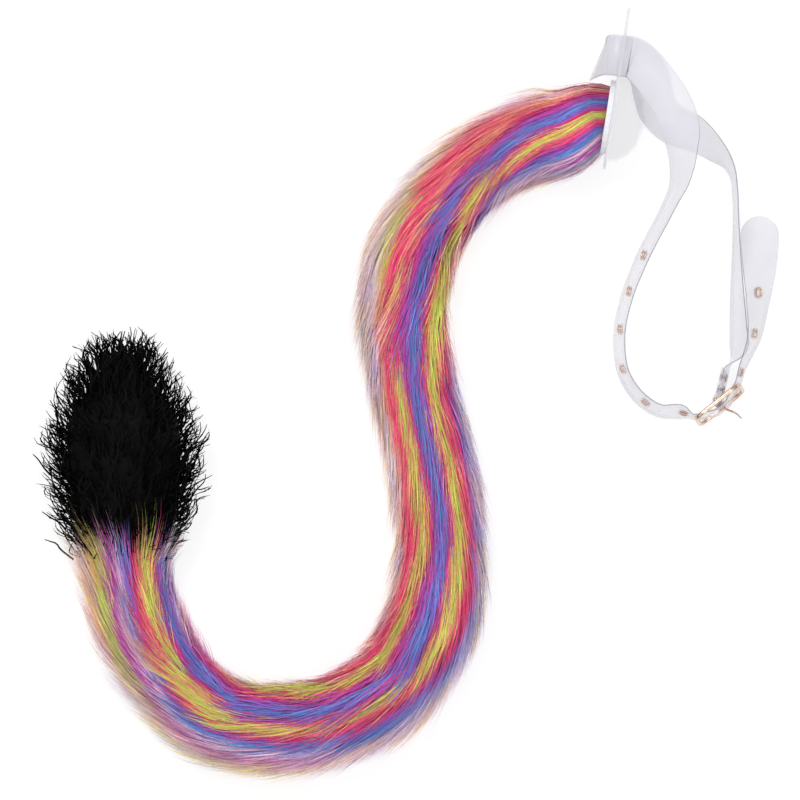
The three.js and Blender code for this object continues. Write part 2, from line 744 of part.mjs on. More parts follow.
// One lock, thin and pointed, from inside the body out to the outline
function furLockSolid(run, angle, long, reach, grow) {
  const sway = 0.06 * Math.sin((4 * run) / tailHalf / 2 + angle * 3);
  const rows = [
    { at: 0, share: furCore * 0.8, half: 0, deep: 0 },
    { at: 0.3, share: furCore * 1.02, half: 0.26, deep: 0.1 },
    { at: 0.65, share: lerp(furCore, reach, 0.62), half: 0.17, deep: 0.07 },
    { at: 1, share: reach, half: 0, deep: 0 },
  ];
  const rings = rows.map((row) => {
    const place = run + row.at * long + (row.at === 1 ? grow : 0);
    const turn = angle + sway * row.at;
    if (!row.half && !(grow && row.at)) return [tailPoint(place, turn, row.share)];
    const { half } = tailAt(place);
    const spread = row.half + (3 * grow) / half;
    const depth = row.deep + (2 * grow) / half;
    return [
      tailPoint(place, turn - spread / row.share, row.share - depth * 0.4),
      tailPoint(place, turn, row.share + depth),
      tailPoint(place, turn + spread / row.share, row.share - depth * 0.4),
      tailPoint(place, turn, row.share - depth * 1.6),
    ];
  });
  return solidOf(loft(rings));
}

function furSolid(grow = 0) {
  const rows = Math.round(tailLength / furSpacing);
  const locks = [];
  for (let i = 0; i < rows; i++) {
    for (let k = 0; k < furLocks; k++) {
      const mix = (i * 5 + k * 3) % 7;
      const angle = rad(lerp(-28, 208, (k + (i % 2) * 0.5) / (furLocks - 0.5)));
      const run = (i + 0.2 + mix * 0.08) * (tailLength / rows);
      const aside = Math.abs(Math.cos(angle));
      const reach = lerp(0.9, 1.03, aside) - mix * 0.008;
      locks.push(furLockSolid(run, angle, furLock * (0.86 + mix * 0.04), reach, grow));
    }
  }
  return joined([tailCore(grow), ...locks]).subtract(underFloor);
}

const fur = furSolid();
addPiece('tail_fur', geometryOf(fur), stripedFur);

// Tip: an egg-shaped head with curly locks that fan forward and out of it. along is a share of
// tipLength and half a share of tipHalf.
const tipSections = [
  { along: 0.02, half: 0.46 },
  { along: 0.1, half: 0.68 },
  { along: 0.27, half: 0.95 },
  { along: 0.44, half: 1 },
  { along: 0.6, half: 0.985 },
  { along: 0.73, half: 0.84 },
  { along: 0.86, half: 0.62 },
  { along: 0.94, half: 0.38 },
  { along: 1, half: 0.04 },
];
const tipHeight = tipHalf * tipCore * tipFlat * tailPress;
const tipStart = tailAt(tailLength).middle;
const tipWay = vec(Math.cos(rad(tipTurn)), Math.sin(rad(tipTurn)), 0);
const tipSide = tipWay.clone().cross(up);

function tipHalfAt(along) {
  const after = tipSections.findIndex((row) => row.along >= along);
  if (after < 0) return tipSections.at(-1).half;
  const [a, b] = [tipSections[Math.max(0, after - 1)], tipSections[after]];
  return a === b ? a.half : lerp(a.half, b.half, (along - a.along) / (b.along - a.along));
}

function tipPoint(along, angle, share) {
  const half = tipHalfAt(along) * tipHalf * share;
  const lift = lerp(tipStart.z, tipHeight, smoothstep(along, 0, 0.4));
  const middle = tipStart.clone().addScaledVector(tipWay, along * tipLength).setZ(lift);
  return middle
    .addScaledVector(tipSide, Math.cos(angle) * half)
    .addScaledVector(up, Math.sin(angle) * half * tipFlat);
}

function tipCoreSolid() {
  const sides = 12;
  const rings = tipSections.slice(0, -2).map(({ along }) =>
    Array.from({ length: sides }, (_, k) => tipPoint(along * 0.94, (2 * Math.PI * k) / sides, tipCore)),
  );
  return solidOf(loft([...rings, [tipPoint(0.93, 0, 0)]]));
}

// One curly lock: out of the head, forward, and bent back a little at its point
function tipLockSolid(along, angle, long, curl) {
  const rows = [
    { at: 0, share: tipCore * 0.6, half: 0, deep: 0 },
    { at: 0.35, share: tipCore * 1.0, half: 0.12, deep: 0.09 },
    { at: 0.7, share: 0.92, half: 0.085, deep: 0.06 },
    { at: 1, share: 1.05, half: 0, deep: 0 },
  ];
  const rings = rows.map((row) => {
    const place = Math.min(1, along + (row.at * long) / tipLength);
    const turn = angle + curl * row.at * row.at;
    if (!row.half) return [tipPoint(place, turn, row.share)];
    const size = Math.max(0.35, tipHalfAt(place));
    return [
      tipPoint(place, turn - row.half / (row.share * size), row.share),
      tipPoint(place, turn, row.share + row.deep / size),
      tipPoint(place, turn + row.half / (row.share * size), row.share),
      tipPoint(place, turn, row.share - row.deep / size),
    ];
  });
  return solidOf(loft(rings));
}

function tipSolid() {
  const locks = [];
  for (let i = 0; i < tipRows; i++) {
    for (let k = 0; k < tipLocks; k++) {
      const mix = (i * 4 + k * 5) % 9;
      const along = lerp(0.04, 0.68, (i + mix * 0.07) / tipRows);
      const angle = (2 * Math.PI * (k + (i % 2) * 0.5)) / tipLocks;
      locks.push(tipLockSolid(along, angle, tipLock * (0.85 + mix * 0.04), (mix - 4) * 0.05));
    }
  }
  return joined([tipCoreSolid(), ...locks]).subtract(underFloor).subtract(furSolid(gap));
}
addPiece('tail_tip', geometryOf(tipSolid()), blackFeather);

export default group;
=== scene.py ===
import math
import bpy
import numpy as np
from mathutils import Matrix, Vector


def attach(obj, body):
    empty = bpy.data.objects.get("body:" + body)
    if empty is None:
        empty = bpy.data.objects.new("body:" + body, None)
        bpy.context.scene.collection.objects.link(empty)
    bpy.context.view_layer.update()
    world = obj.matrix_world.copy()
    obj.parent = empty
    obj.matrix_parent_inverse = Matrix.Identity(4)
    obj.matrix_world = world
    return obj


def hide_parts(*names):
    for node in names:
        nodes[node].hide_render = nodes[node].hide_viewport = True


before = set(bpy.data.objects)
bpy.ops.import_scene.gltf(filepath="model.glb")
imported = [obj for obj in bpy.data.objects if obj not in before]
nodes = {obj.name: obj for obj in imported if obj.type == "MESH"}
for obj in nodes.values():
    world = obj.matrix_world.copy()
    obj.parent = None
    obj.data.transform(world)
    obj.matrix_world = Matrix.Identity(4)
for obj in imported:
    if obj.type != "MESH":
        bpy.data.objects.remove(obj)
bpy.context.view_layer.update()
scene = bpy.context.scene
upward = np.array([0.0, 0.0, 1.0])
print("stage: frame loaded")

# camera straight above, far off with a long lens
camera = {"over": (-0.1732, -0.2492), "height": 17.8, "lens": 1000.0, "sensor": 36, "farthest": 120}
cameraData = bpy.data.cameras.new("cameraTop")
cameraData.lens = camera["lens"]
cameraData.sensor_width = camera["sensor"]
cameraData.clip_end = camera["farthest"]
cameraObject = bpy.data.objects.new("cameraTop", cameraData)
cameraObject.location = (*camera["over"], camera["height"])
scene.collection.objects.link(cameraObject)
scene.camera = cameraObject


# colours and materials

def linear(red, green, blue):
    # from the 0 to 255 values of a screen
    parts = np.array([red, green, blue]) / 255
    return np.where(parts <= 0.04045, parts / 12.92, ((parts + 0.055) / 1.055) ** 2.4)


def newMaterial(name):
    material = bpy.data.materials.new(name)
    material.use_nodes = True
    tree = material.node_tree
    return material, tree, tree.nodes["Principled BSDF"]


def addNode(tree, kind, settings=None, **inputs):
    node = tree.nodes.new(kind)
    for key, value in (settings or {}).items():
        setattr(node, key, value)
    for key, value in inputs.items():
        socket = node.inputs[int(key[1:])] if key[0] == "i" and key[1:].isdigit() else node.inputs[key]
        if isinstance(value, bpy.types.NodeSocket):
            tree.links.new(value, socket)
        else:
            socket.default_value = value
    return node


def noiseNode(tree, scale, detail, stretch=(1, 1, 1)):
    place = addNode(tree, "ShaderNodeTexCoord")
    mapping = addNode(tree, "ShaderNodeMapping", Vector=place.outputs["Object"], Scale=stretch)
    return addNode(tree, "ShaderNodeTexNoise", Vector=mapping.outputs[0], Scale=scale, Detail=detail)


def rampNode(tree, fac, stops):
    ramp = addNode(tree, "ShaderNodeValToRGB", Fac=fac)
    elements = ramp.color_ramp.elements
    while len(elements) < len(stops):
        elements.new(0.5)
    for element, (at, colour) in zip(elements, stops):
        element.position = at
        element.color = (*colour, 1)
    return ramp


def bumpNode(tree, height, strength, distance):
    return addNode(tree, "ShaderNodeBump", Height=height, Strength=strength, Distance=distance)


vinylLook = {
    # the cut edges' greys are painted shade for the line that refraction draws along them, fainter on the
    # lower edge and over the fold
    "body": linear(221, 220, 228), "edge": linear(118, 118, 132), "faintCutEdgeShade": linear(200, 200, 210),
    "alpha": 0.42, "domeAlpha": 0.1, "edgeAlpha": 0.66, "underAlpha": 0.35, "roughness": 0.2,
    # scale of the clouds in it and their two tones, scale and bump of its ripples
    "clouds": 16, "darker": 0.96, "lighter": 1.05, "ripples": 26, "bump": (0.05, 0.002),
}


def vinylMaterial(name, colour, alpha):
    look = vinylLook
    material, tree, shader = newMaterial(name)
    cloud = noiseNode(tree, look["clouds"], 3)
    tones = [(0.3, colour * look["darker"]), (0.7, np.minimum(colour * look["lighter"], 1))]
    tree.links.new(rampNode(tree, cloud.outputs[0], tones).outputs[0], shader.inputs["Base Color"])
    ripple = noiseNode(tree, look["ripples"], 2)
    tree.links.new(bumpNode(tree, ripple.outputs[0], *look["bump"]).outputs[0], shader.inputs["Normal"])
    shader.inputs["Alpha"].default_value = alpha
    shader.inputs["Roughness"].default_value = look["roughness"]
    return material


goldLook = {
    "light": linear(232, 206, 188), "deep": linear(196, 160, 138), "clouds": 260, "roughness": (0.12, 0.28),
    "scratches": 900, "scratchStretch": (1, 1, 6), "bump": (0.15, 0.0002),
}


def goldMaterial():
    look = goldLook
    material, tree, shader = newMaterial("roseGold")
    cloud = noiseNode(tree, look["clouds"], 4)
    colour = rampNode(tree, cloud.outputs[0], [(0.35, look["deep"]), (0.65, look["light"])])
    tree.links.new(colour.outputs[0], shader.inputs["Base Color"])
    shine = addNode(tree, "ShaderNodeMapRange", Value=cloud.outputs[0])
    shine.inputs["To Min"].default_value, shine.inputs["To Max"].default_value = look["roughness"]
    tree.links.new(shine.outputs[0], shader.inputs["Roughness"])
    shader.inputs["Metallic"].default_value = 1
    scratches = noiseNode(tree, look["scratches"], 2, look["scratchStretch"])
    tree.links.new(bumpNode(tree, scratches.outputs[0], *look["bump"]).outputs[0], shader.inputs["Normal"])
    return material


feltLook = {
    "deep": linear(226, 226, 232), "light": linear(250, 250, 252), "pile": 700, "bump": (0.4, 0.0006),
    "roughness": 0.85,
}


def feltMaterial():
    look = feltLook
    material, tree, shader = newMaterial("whiteFelt")
    pile = noiseNode(tree, look["pile"], 5)
    colour = rampNode(tree, pile.outputs[0], [(0.3, look["deep"]), (0.7, look["light"])])
    tree.links.new(colour.outputs[0], shader.inputs["Base Color"])
    tree.links.new(bumpNode(tree, pile.outputs[0], *look["bump"]).outputs[0], shader.inputs["Normal"])
    shader.inputs["Roughness"].default_value = look["roughness"]
    return material


def strandMaterial(name, roughness, sheen, shine, fleck, fleckScale=420):
    # the colour comes from the points of the strands, fleck makes it uneven
    material, tree, shader = newMaterial(name)
    tint = addNode(tree, "ShaderNodeAttribute", {"attribute_name": "tint"})
    cloud = noiseNode(tree, fleckScale, 3)
    flecks = rampNode(tree, cloud.outputs[0], [(0.3, (1 - fleck,) * 3), (0.7, (1 + fleck,) * 3)])
    mixed = addNode(tree, "ShaderNodeMix", {"data_type": "RGBA", "blend_type": "MULTIPLY"}, i0=1.0)
    tree.links.new(tint.outputs["Color"], mixed.inputs[6])
    tree.links.new(flecks.outputs[0], mixed.inputs[7])
    tree.links.new(mixed.outputs[2], shader.inputs["Base Color"])
    shader.inputs["Roughness"].default_value = roughness
    shader.inputs["Sheen Weight"].default_value = sheen
    shader.inputs["Specular IOR Level"].default_value = shine
    return material


clearVinyl = vinylMaterial("clearVinyl", vinylLook["body"], vinylLook["alpha"])
cutEdgeShade = vinylMaterial("cutEdgeShade", vinylLook["edge"], vinylLook["edgeAlpha"])
faintCutEdgeShade = vinylMaterial("faintCutEdgeShade", vinylLook["faintCutEdgeShade"], vinylLook["underAlpha"])
domeVinyl = vinylMaterial("domeVinyl", vinylLook["body"], vinylLook["domeAlpha"])
roseGold, whiteFelt = goldMaterial(), feltMaterial()
print("stage: materials")


# mesh tools

def meshObject(name, points, faces, smooth=True):
    mesh = bpy.data.meshes.new(name)
    mesh.from_pydata([tuple(p) for p in points], [], [tuple(f) for f in faces])
    mesh.polygons.foreach_set("use_smooth", [smooth] * len(mesh.polygons))
    mesh.update()
    piece = bpy.data.objects.new(name, mesh)
    scene.collection.objects.link(piece)
    return piece


def finishPiece(piece, material, slotName, *replaced):
    piece.data.materials.append(material)
    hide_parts(*replaced)
    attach(piece, "root")


def gridFaces(rows, columns, closedRows=False):
    faces = []
    for i in range(rows if closedRows else rows - 1):
        for k in range(columns):
            j, n = (i + 1) % rows, (k + 1) % columns
            faces.append((i * columns + k, i * columns + n, j * columns + n, j * columns + k))
    return faces


def endFaces(rows, columns):
    # flat ends for a tube of rings
    last = (rows - 1) * columns
    return [tuple(range(columns))[::-1], tuple(range(last, last + columns))]


def unit(vectors):
    return vectors / np.maximum(np.linalg.norm(vectors, axis=-1, keepdims=True), 1e-12)


def smoothRows(rows, count):
    # curve through rows of numbers, spaced by the root of the chord of the first three
    rows = np.asarray(rows, float)
    gaps = np.sqrt(np.linalg.norm(np.diff(rows[:, :3], axis=0), axis=1))
    knots = np.r_[0, np.cumsum(gaps)]
    slopes = np.diff(rows, axis=0) / gaps[:, None]
    turns = np.vstack([slopes[:1], np.zeros((len(rows) - 2, rows.shape[1])), slopes[-1:]])
    turns[1:-1] = slopes[:-1] * gaps[1:, None] + slopes[1:] * gaps[:-1, None]
    turns[1:-1] /= (gaps[1:] + gaps[:-1])[:, None]
    at = np.linspace(0, knots[-1], count)
    i = np.clip(np.searchsorted(knots, at, "right") - 1, 0, len(rows) - 2)
    x, gap = ((at - knots[i]) / gaps[i])[:, None], gaps[i][:, None]
    return ((1 + 2 * x) * (1 - x) ** 2 * rows[i] + x * (1 - x) ** 2 * gap * turns[i]
            + x ** 2 * (3 - 2 * x) * rows[i + 1] + x ** 2 * (x - 1) * gap * turns[i + 1])


def smoothStep(x, low, high):
    x = np.clip((x - low) / (high - low), 0, 1)
    return x * x * (3 - 2 * x)


def tintPoints(mesh, colours):
    values = np.ones((len(mesh.vertices), 4), np.float32)
    values[:, :3] = colours
    mesh.attributes.new("tint", "FLOAT_COLOR", "POINT").data.foreach_set("color", values.ravel())


def strandObject(name, centres, outward, widths, colours):
    # one flat ribbon a strand: centres, widths and colours have a value for each of its points
    count, steps = centres.shape[:2]
    along = np.gradient(centres, axis=1)
    across = unit(np.cross(along, outward)) * widths[..., None] / 2
    points = np.stack([centres - across, centres + across], axis=2).reshape(-1, 3)
    first = (np.arange(count)[:, None] * steps + np.arange(steps - 1)) * 2
    corners = np.stack([first, first + 1, first + 3, first + 2], axis=-1).reshape(-1)
    quads = count * (steps - 1)
    mesh = bpy.data.meshes.new(name)
    mesh.vertices.add(len(points))
    mesh.vertices.foreach_set("co", points.astype(np.float32).ravel())
    mesh.loops.add(quads * 4)
    mesh.loops.foreach_set("vertex_index", corners.astype(np.int32))
    mesh.polygons.add(quads)
    mesh.polygons.foreach_set("loop_start", np.arange(quads, dtype=np.int32) * 4)
    mesh.polygons.foreach_set("use_smooth", np.ones(quads, dtype=bool))
    mesh.update(calc_edges=True)
    tintPoints(mesh, np.repeat(colours.reshape(-1, 3), 2, axis=0))
    # a cell of the map for each strand, with a margin round it
    side = math.ceil(math.sqrt(count))
    cell = np.arange(count)
    u = (cell % side)[:, None, None] + np.array([0.25, 0.75])[None, None, :] + np.zeros((1, steps, 1))
    v = (cell // side)[:, None, None] + np.linspace(0.08, 0.92, steps)[None, :, None] + np.zeros((1, 1, 2))
    places = (np.stack([u, v], axis=-1) / side).reshape(-1, 2)
    layer = mesh.uv_layers.new(name="OFBake")
    layer.data.foreach_set("uv", places[corners].astype(np.float32).ravel())
    piece = bpy.data.objects.new(name, mesh)
    scene.collection.objects.link(piece)
    return piece


# route of the tail: shares of reach, drop and half as in the model, then on into the tip

tail = {
    "reach": 0.392, "drop": 0.512, "half": 0.039, "flat": 0.84, "tipTurn": 91.3,
    "rest": 0.594,  # height of the middle over the floor, in half widths
    "root": (-0.0092, -0.0229, 0.042), "rootNext": (-0.0166, -0.0217, 0.042), "rootHalf": 0.0285,
    "steps": 1500, "bendOver": 41,  # points of the route, and how many its bend is averaged over
    # shares of reach, drop and half, then a height of its own where it doesn't lie on the floor
    "rows": [
        (0.11, 0.069, 0.84, 0.036), (0.188, 0.085, 0.85, 0), (0.269, 0.116, 0.85, 0), (0.359, 0.186, 0.92, 0),
        (0.417, 0.256, 0.96, 0), (0.428, 0.342, 0.96, 0), (0.412, 0.461, 0.89, 0), (0.374, 0.596, 0.88, 0),
        (0.359, 0.725, 0.93, 0), (0.372, 0.815, 0.99, 0), (0.402, 0.87, 1.0, 0), (0.463, 0.936, 1.0, 0),
        (0.573, 0.983, 0.98, 0), (0.685, 1.0, 0.98, 0), (0.818, 0.981, 0.96, 0), (0.912, 0.916, 0.95, 0),
        (0.971, 0.842, 0.95, 0), (1.0, 0.745, 0.96, 0),
    ],
    # length into the tip, half width, height of the middle, flatness
    "intoTip": [(0.022, 0.047, 0.026, 0.8), (0.045, 0.058, 0.030, 0.76), (0.07, 0.065, 0.033, 0.73),
                (0.11, 0.067, 0.033, 0.72)],
}

rows = [(*tail[place], tail["rootHalf"], 1.0) for place in ("root", "rootNext")]
for x, y, half, height in tail["rows"]:
    half *= tail["half"]
    rows.append((-x * tail["reach"], -y * tail["drop"], height or half * tail["rest"], half, tail["flat"]))
tipTurn = math.radians(tail["tipTurn"])
tipWay = np.array([math.cos(tipTurn), math.sin(tipTurn), 0.0])
tipSide = np.cross(tipWay, upward)
tipStart = np.array(rows[-1][:3])
for along, half, height, flat in tail["intoTip"]:
    place = tipStart + tipWay * along
    rows.append((place[0], place[1], height, half, flat))

fine = smoothRows(rows, tail["steps"])
routeRun = np.r_[0, np.cumsum(np.linalg.norm(np.diff(fine[:, :3], axis=0), axis=1))]
routeAlong = unit(np.gradient(fine[:, :3], axis=0))
routeSide = unit(np.cross(routeAlong, upward))
routeBend = np.einsum("ij,ij->i", np.gradient(routeAlong, routeRun, axis=0), routeSide)
routeBend = np.convolve(routeBend, np.ones(tail["bendOver"]) / tail["bendOver"], "same")
furLength = routeRun[np.argmin(np.linalg.norm(fine[:, :3] - tipStart, axis=1))]
print("stage: route,", round(float(furLength), 3), "m of fur")


def readAt(run, runs, values):
    # values at lengths along a route, a single row of them or several columns
    if values.ndim == 1:
        return np.interp(run, runs, values)
    return np.stack([np.interp(run, runs, values[:, k]) for k in range(values.shape[1])], axis=-1)


def onRoute(run, values):
    return readAt(run, routeRun, values)


shownShare = 0.84  # of locks and wisps, on the part that shows from above


def anglesRound(random, count, low, high):
    shown = random.random(count) < shownShare
    degrees = np.where(shown, random.uniform(low, high, count), random.uniform(high, low + 360, count))
    return np.radians(degrees)


# long striped fur, in locks that gather towards their points

shades = {
    "lime": linear(204, 222, 96), "mustard": linear(228, 200, 110), "orange": linear(236, 166, 124),
    "coral": linear(240, 108, 128), "hotPink": linear(244, 50, 126), "crimson": linear(224, 44, 116),
    "magenta": linear(190, 66, 166), "purple": linear(144, 92, 194), "blue": linear(92, 140, 210),
    "mauve": linear(222, 182, 208), "lavender": linear(206, 196, 230), "peach": linear(246, 214, 196),
    "white": linear(242, 236, 246), "grey": linear(178, 172, 186), "paleBlue": linear(166, 176, 222),
}
fur = {
    "pieces": 4, "locks": 2300, "strands": 25, "points": 7, "length": (0.068, 0.009), "width": 0.00072,
    "seed": 11,
    # locks start before the root, stop short of the tip, and these angles show from above
    "before": 0.04, "short": 0.03, "angles": (-28, 208),
    # how far strands gather to a point, stay straight in a bend and follow the stripes
    "gather": 0.55, "sideGather": 0.8, "straight": 0.52, "follow": 0.85,
    # how much the locks differ in shade, sway and reach, and how many at the sides stand out and how far
    "shadeSpread": 0.13, "swaySpread": 0.05, "reachSpread": 0.04, "fringed": 0.5, "fringe": (0.04, 0.2),
    # how much the strands of a lock differ in length, place, angle and reach, and how far they curl and roll
    "longSpread": 0.12, "runSpread": 0.01, "angleSpread": 0.15, "strandReach": 0.03, "curl": 0.0016,
    "roll": 0.45,
    # place of the first blue stripe across the tail at lengths along it, 1 is the side left of the plate
    "blueAt": [(0.0, 0.46), (0.06, 0.36), (0.12, 0.0), (0.18, -0.33), (0.23, -0.46), (0.27, -0.38),
               (0.32, -0.1), (0.38, -0.03), (0.48, 0.02), (0.56, 0.14), (0.62, 0.2), (0.68, 0.36),
               (0.74, 0.5), (0.82, 0.62), (0.9, 0.78), (1.0, 1.0)],
    # stripes by their distance from it
    "stripes": [(-2.1, "mauve"), (-1.88, "peach"), (-1.68, "orange"), (-1.48, "lime"), (-1.3, "magenta"),
                (-1.12, "mauve"), (-0.95, "blue"), (-0.82, "purple"), (-0.7, "crimson"), (-0.59, "coral"),
                (-0.44, "lime"), (-0.33, "mustard"), (-0.24, "crimson"), (-0.14, "purple"), (0.0, "blue"),
                (0.1, "purple"), (0.18, "magenta"), (0.28, "crimson"), (0.4, "mustard"), (0.49, "lime"),
                (0.6, "coral"), (0.73, "hotPink"), (0.86, "orange"), (1.0, "mauve"), (1.16, "lavender"),
                (1.36, "peach"), (1.6, "mauve")],
    # and where they differ over the first part of the length
    "firstPart": 0.2,
    "firstStripes": {0.4: "orange", 0.49: "coral", 0.6: "hotPink", 0.73: "coral", 0.86: "lime",
                     1.0: "peach"},
    # how the stripes waver: how far, how often along the length and across
    "waver": [(0.04, 19, 2.2), (0.02, 47, -3)],
    # strands off their stripe, some of them far off, and how sharply one stripe turns into the next
    "scatter": 0.016, "strays": 0.05, "strayScatter": 0.14, "sharp": 2.6, "firstScatter": 0.02,
    # small tufts of one colour: share of the length, place across, how wide, shade; the grey one, at the
    # root, is painted shade on the fringe there
    "tufts": [(0.985, 0.86, 0.13, "white"), (0.0, -0.98, 0.14, "grey")],
    "tuftLong": 0.045,
    # next to the tip the strands are shorter, and their ends run into its black
    "tipFade": 0.55, "intoBlack": 0.8,
    # paler shades of the locks at the sides
    "pale": ["peach", "mauve", "peach", "lavender", "peach", "mauve", "paleBlue", "mustard"],
}


def stripeColours(run, across, random):
    share = run / furLength
    offset = across - np.interp(share, *zip(*fur["blueAt"]))
    for far, often, over in fur["waver"]:
        offset = offset + far * np.sin(often * share + over * across)
    strays = random.random(len(run)) < fur["strays"]
    offset = offset + random.normal(0, fur["scatter"], len(run))
    offset = offset + strays * random.normal(0, fur["strayScatter"], len(run))
    places = np.array([at for at, _ in fur["stripes"]])
    colours = np.array([shades[name] for _, name in fur["stripes"]])
    first = np.array([shades[fur["firstStripes"].get(at, name)] for at, name in fur["stripes"]])
    inFirst = (share + random.normal(0, fur["firstScatter"], len(run)) < fur["firstPart"])[:, None]
    after = np.clip(np.searchsorted(places, offset), 1, len(places) - 1)
    mix = (offset - places[after - 1]) / (places[after] - places[after - 1])
    mix = np.clip((mix - 0.5) * fur["sharp"] + 0.5, 0, 1)[:, None]
    before, beyond = [np.where(inFirst, first[k], colours[k]) for k in (after - 1, after)]
    return before * (1 - mix) + beyond * mix


def furStrands():
    random = np.random.default_rng(fur["seed"])
    locks, per, steps = fur["locks"], fur["strands"], fur["points"]
    lockRun = random.uniform(-fur["before"], furLength - fur["short"], locks)
    lockAngle = anglesRound(random, locks, *fur["angles"])
    lockLong = random.normal(*fur["length"], locks)
    lockShade = random.normal(1, fur["shadeSpread"], locks)
    lockSway = random.normal(0, fur["swaySpread"], locks)
    lockReach = random.normal(0, fur["reachSpread"], locks)
    lockGather = random.uniform(0.4, 1, locks) * fur["gather"]
    lockFringe = (random.random(locks) < fur["fringed"]) * random.uniform(*fur["fringe"], locks)
    lockPale = random.integers(0, len(fur["pale"]), locks)

    lock = np.repeat(np.arange(locks), per)
    count = len(lock)
    t = np.linspace(0, 1, steps)[None, :]
    gather = lockGather[lock][:, None] * t ** 1.3
    atSide = smoothStep(np.abs(np.cos(lockAngle)), 0.6, 0.95)[lock][:, None]
    gather = gather + atSide * (fur["sideGather"] - gather) * t ** 1.3
    nearTip = smoothStep(lockRun, furLength - 2 * fur["short"], furLength - fur["short"])[lock]
    long = lockLong[lock] * random.normal(1, fur["longSpread"], count)
    long = (long * (1 - fur["tipFade"] * nearTip * random.random(count)))[:, None]
    ahead = random.normal(0, fur["runSpread"], count)[:, None] * (1 - 0.3 * gather)
    run = lockRun[lock][:, None] + ahead + long * t
    rootRun = np.clip(run[:, 0], 0, furLength)
    run = run - run[:, :1] + rootRun[:, None]
    apart = random.normal(0, fur["angleSpread"], count)[:, None] * (1 - gather)
    angle = lockAngle[lock][:, None] + apart
    angle = angle + lockSway[lock][:, None] * t ** 1.5 + random.normal(0, 0.05, count)[:, None] * t
    # the strands lie along the stripes, where they wind round the tail
    blue = np.interp(run / furLength, *zip(*fur["blueAt"]))
    wind = fur["follow"] * (blue - blue[:, :1]) * np.abs(np.sin(angle[:, :1]))
    angle = np.where(np.sin(angle) < 0, -1, 1) * np.arccos(np.clip(np.cos(angle) + wind, -0.998, 0.998))

    # they stay straighter than the tail in its bends, and reach out less where that takes them outwards
    half, flat = onRoute(run, fine[:, 3]), onRoute(run, fine[:, 4])
    bend = (onRoute(rootRun, routeBend) * smoothStep(rootRun, 0.02, 0.07))[:, None]
    shift = -bend * (long * t) ** 2 / 2 * fur["straight"]
    aside = np.cos(angle)
    spare = np.maximum(0, np.sign(aside[:, :1]) * shift[:, -1:]) / half[:, -1:]
    fringe = smoothStep(np.abs(aside[:, :1]), 0.75, 1) * lockFringe[lock][:, None]
    reach = 0.9 + 0.08 * np.abs(aside[:, :1]) + lockReach[lock][:, None]
    reach = reach + random.normal(0, fur["strandReach"], count)[:, None]
    reach = reach - 0.8 * spare + fringe * random.uniform(0.6, 1.1, (count, 1))
    atRoot = (0.86 - 0.26 * smoothStep(rootRun, 0, 0.03))[:, None]
    share = atRoot + (reach - atRoot) * (1 - (1 - t) ** 1.6)

    lateral = aside * share * half + shift
    height = onRoute(run, fine[:, 2]) + np.sin(angle) * share * half * flat
    height = np.maximum(height, 0.0009 + 0.0012 * random.random(count)[:, None])
    sides, middles = onRoute(run, routeSide), onRoute(run, fine[:, :2])
    centres = np.concatenate([middles + sides[..., :2] * lateral[..., None], height[..., None]], axis=-1)
    wisp = random.normal(0, 1, (count, 1, 3)) * (fur["curl"] * t ** 2)[..., None]
    centres = centres + wisp
    centres[..., 2] = np.maximum(centres[..., 2], 0.0006)  # clear of the floor

    outward = sides * aside[..., None] + upward * np.sin(angle)[..., None]
    roll = random.normal(0, fur["roll"], (count, 1, 1))
    outward = outward + roll * np.cross(outward, unit(np.gradient(centres, axis=1)))
    widths = fur["width"] * random.uniform(0.7, 1.2, count)[:, None] * (1.02 - t ** 2.4)

    across = aside[:, 0] * 0.97
    colours = stripeColours(rootRun, across + random.normal(0, 0.02, locks)[lock], random)
    for at, place, wide, name in fur["tufts"]:
        inTuft = (np.abs(rootRun - at * furLength) < fur["tuftLong"] / 2) & (np.abs(across - place) < wide)
        colours[inTuft & (np.sin(angle[:, 0]) > -0.3)] = shades[name]
    # paler shades at the sides, painted shade darkening the strands towards their roots with less of it at
    # the sides, and black in the tip
    edge = smoothStep(np.abs(lateral[:, -1]) / half[:, -1], 0.7, 0.98)
    pale = np.stack([shades[name] for name in fur["pale"]])[lockPale[lock]]
    outwards = (0.45 + 0.55 * smoothStep(t, 0.0, 0.8))[..., None]
    fade = (0.4 + 0.4 * edge)[:, None, None] * edge[:, None, None] * outwards
    colours = colours[:, None] * (1 - fade) + pale[:, None] * fade
    # random tone of each lock and strand, times painted shade that darkens the roots, lifted at the sides
    # where the strands stand free
    toneAndRootShade = (lockShade[lock] * random.normal(1, 0.09, count))[:, None] * (0.5 + 0.56 * smoothStep(t, 0, 0.5))
    toneAndRootShade = toneAndRootShade + 0.14 * edge[:, None]
    toneAndRootShade = toneAndRootShade * (1 - fur["intoBlack"] * smoothStep(run, furLength + 0.004, furLength + 0.05))
    return centres, outward, widths, np.clip(colours * toneAndRootShade[..., None], 0, 1)


furLook = {"roughness": 0.55, "sheen": 0.12, "shine": 0.35, "fleck": 0.12}
stripedFur = strandMaterial("stripedFur", **furLook)
centres, outward, widths, colours = furStrands()
for k, part in enumerate(np.array_split(np.arange(len(centres)), fur["pieces"])):
    piece = strandObject(f"fur_locks_{k + 1}", centres[part], outward[part], widths[part], colours[part])
    finishPiece(piece, stripedFur, "striped_fur", "tail_fur")
print("stage: fur,", len(centres), "strands")


# stuffed body under the fur, its stripes darkened as painted shade deep in the fur

body = {
    "share": 0.64, "rootShare": 0.8, "rootLong": 0.01, "uneven": 0.012, "shadeUnderFur": 0.42, "sides": 28,
    "rings": 150, "seed": 5,
}


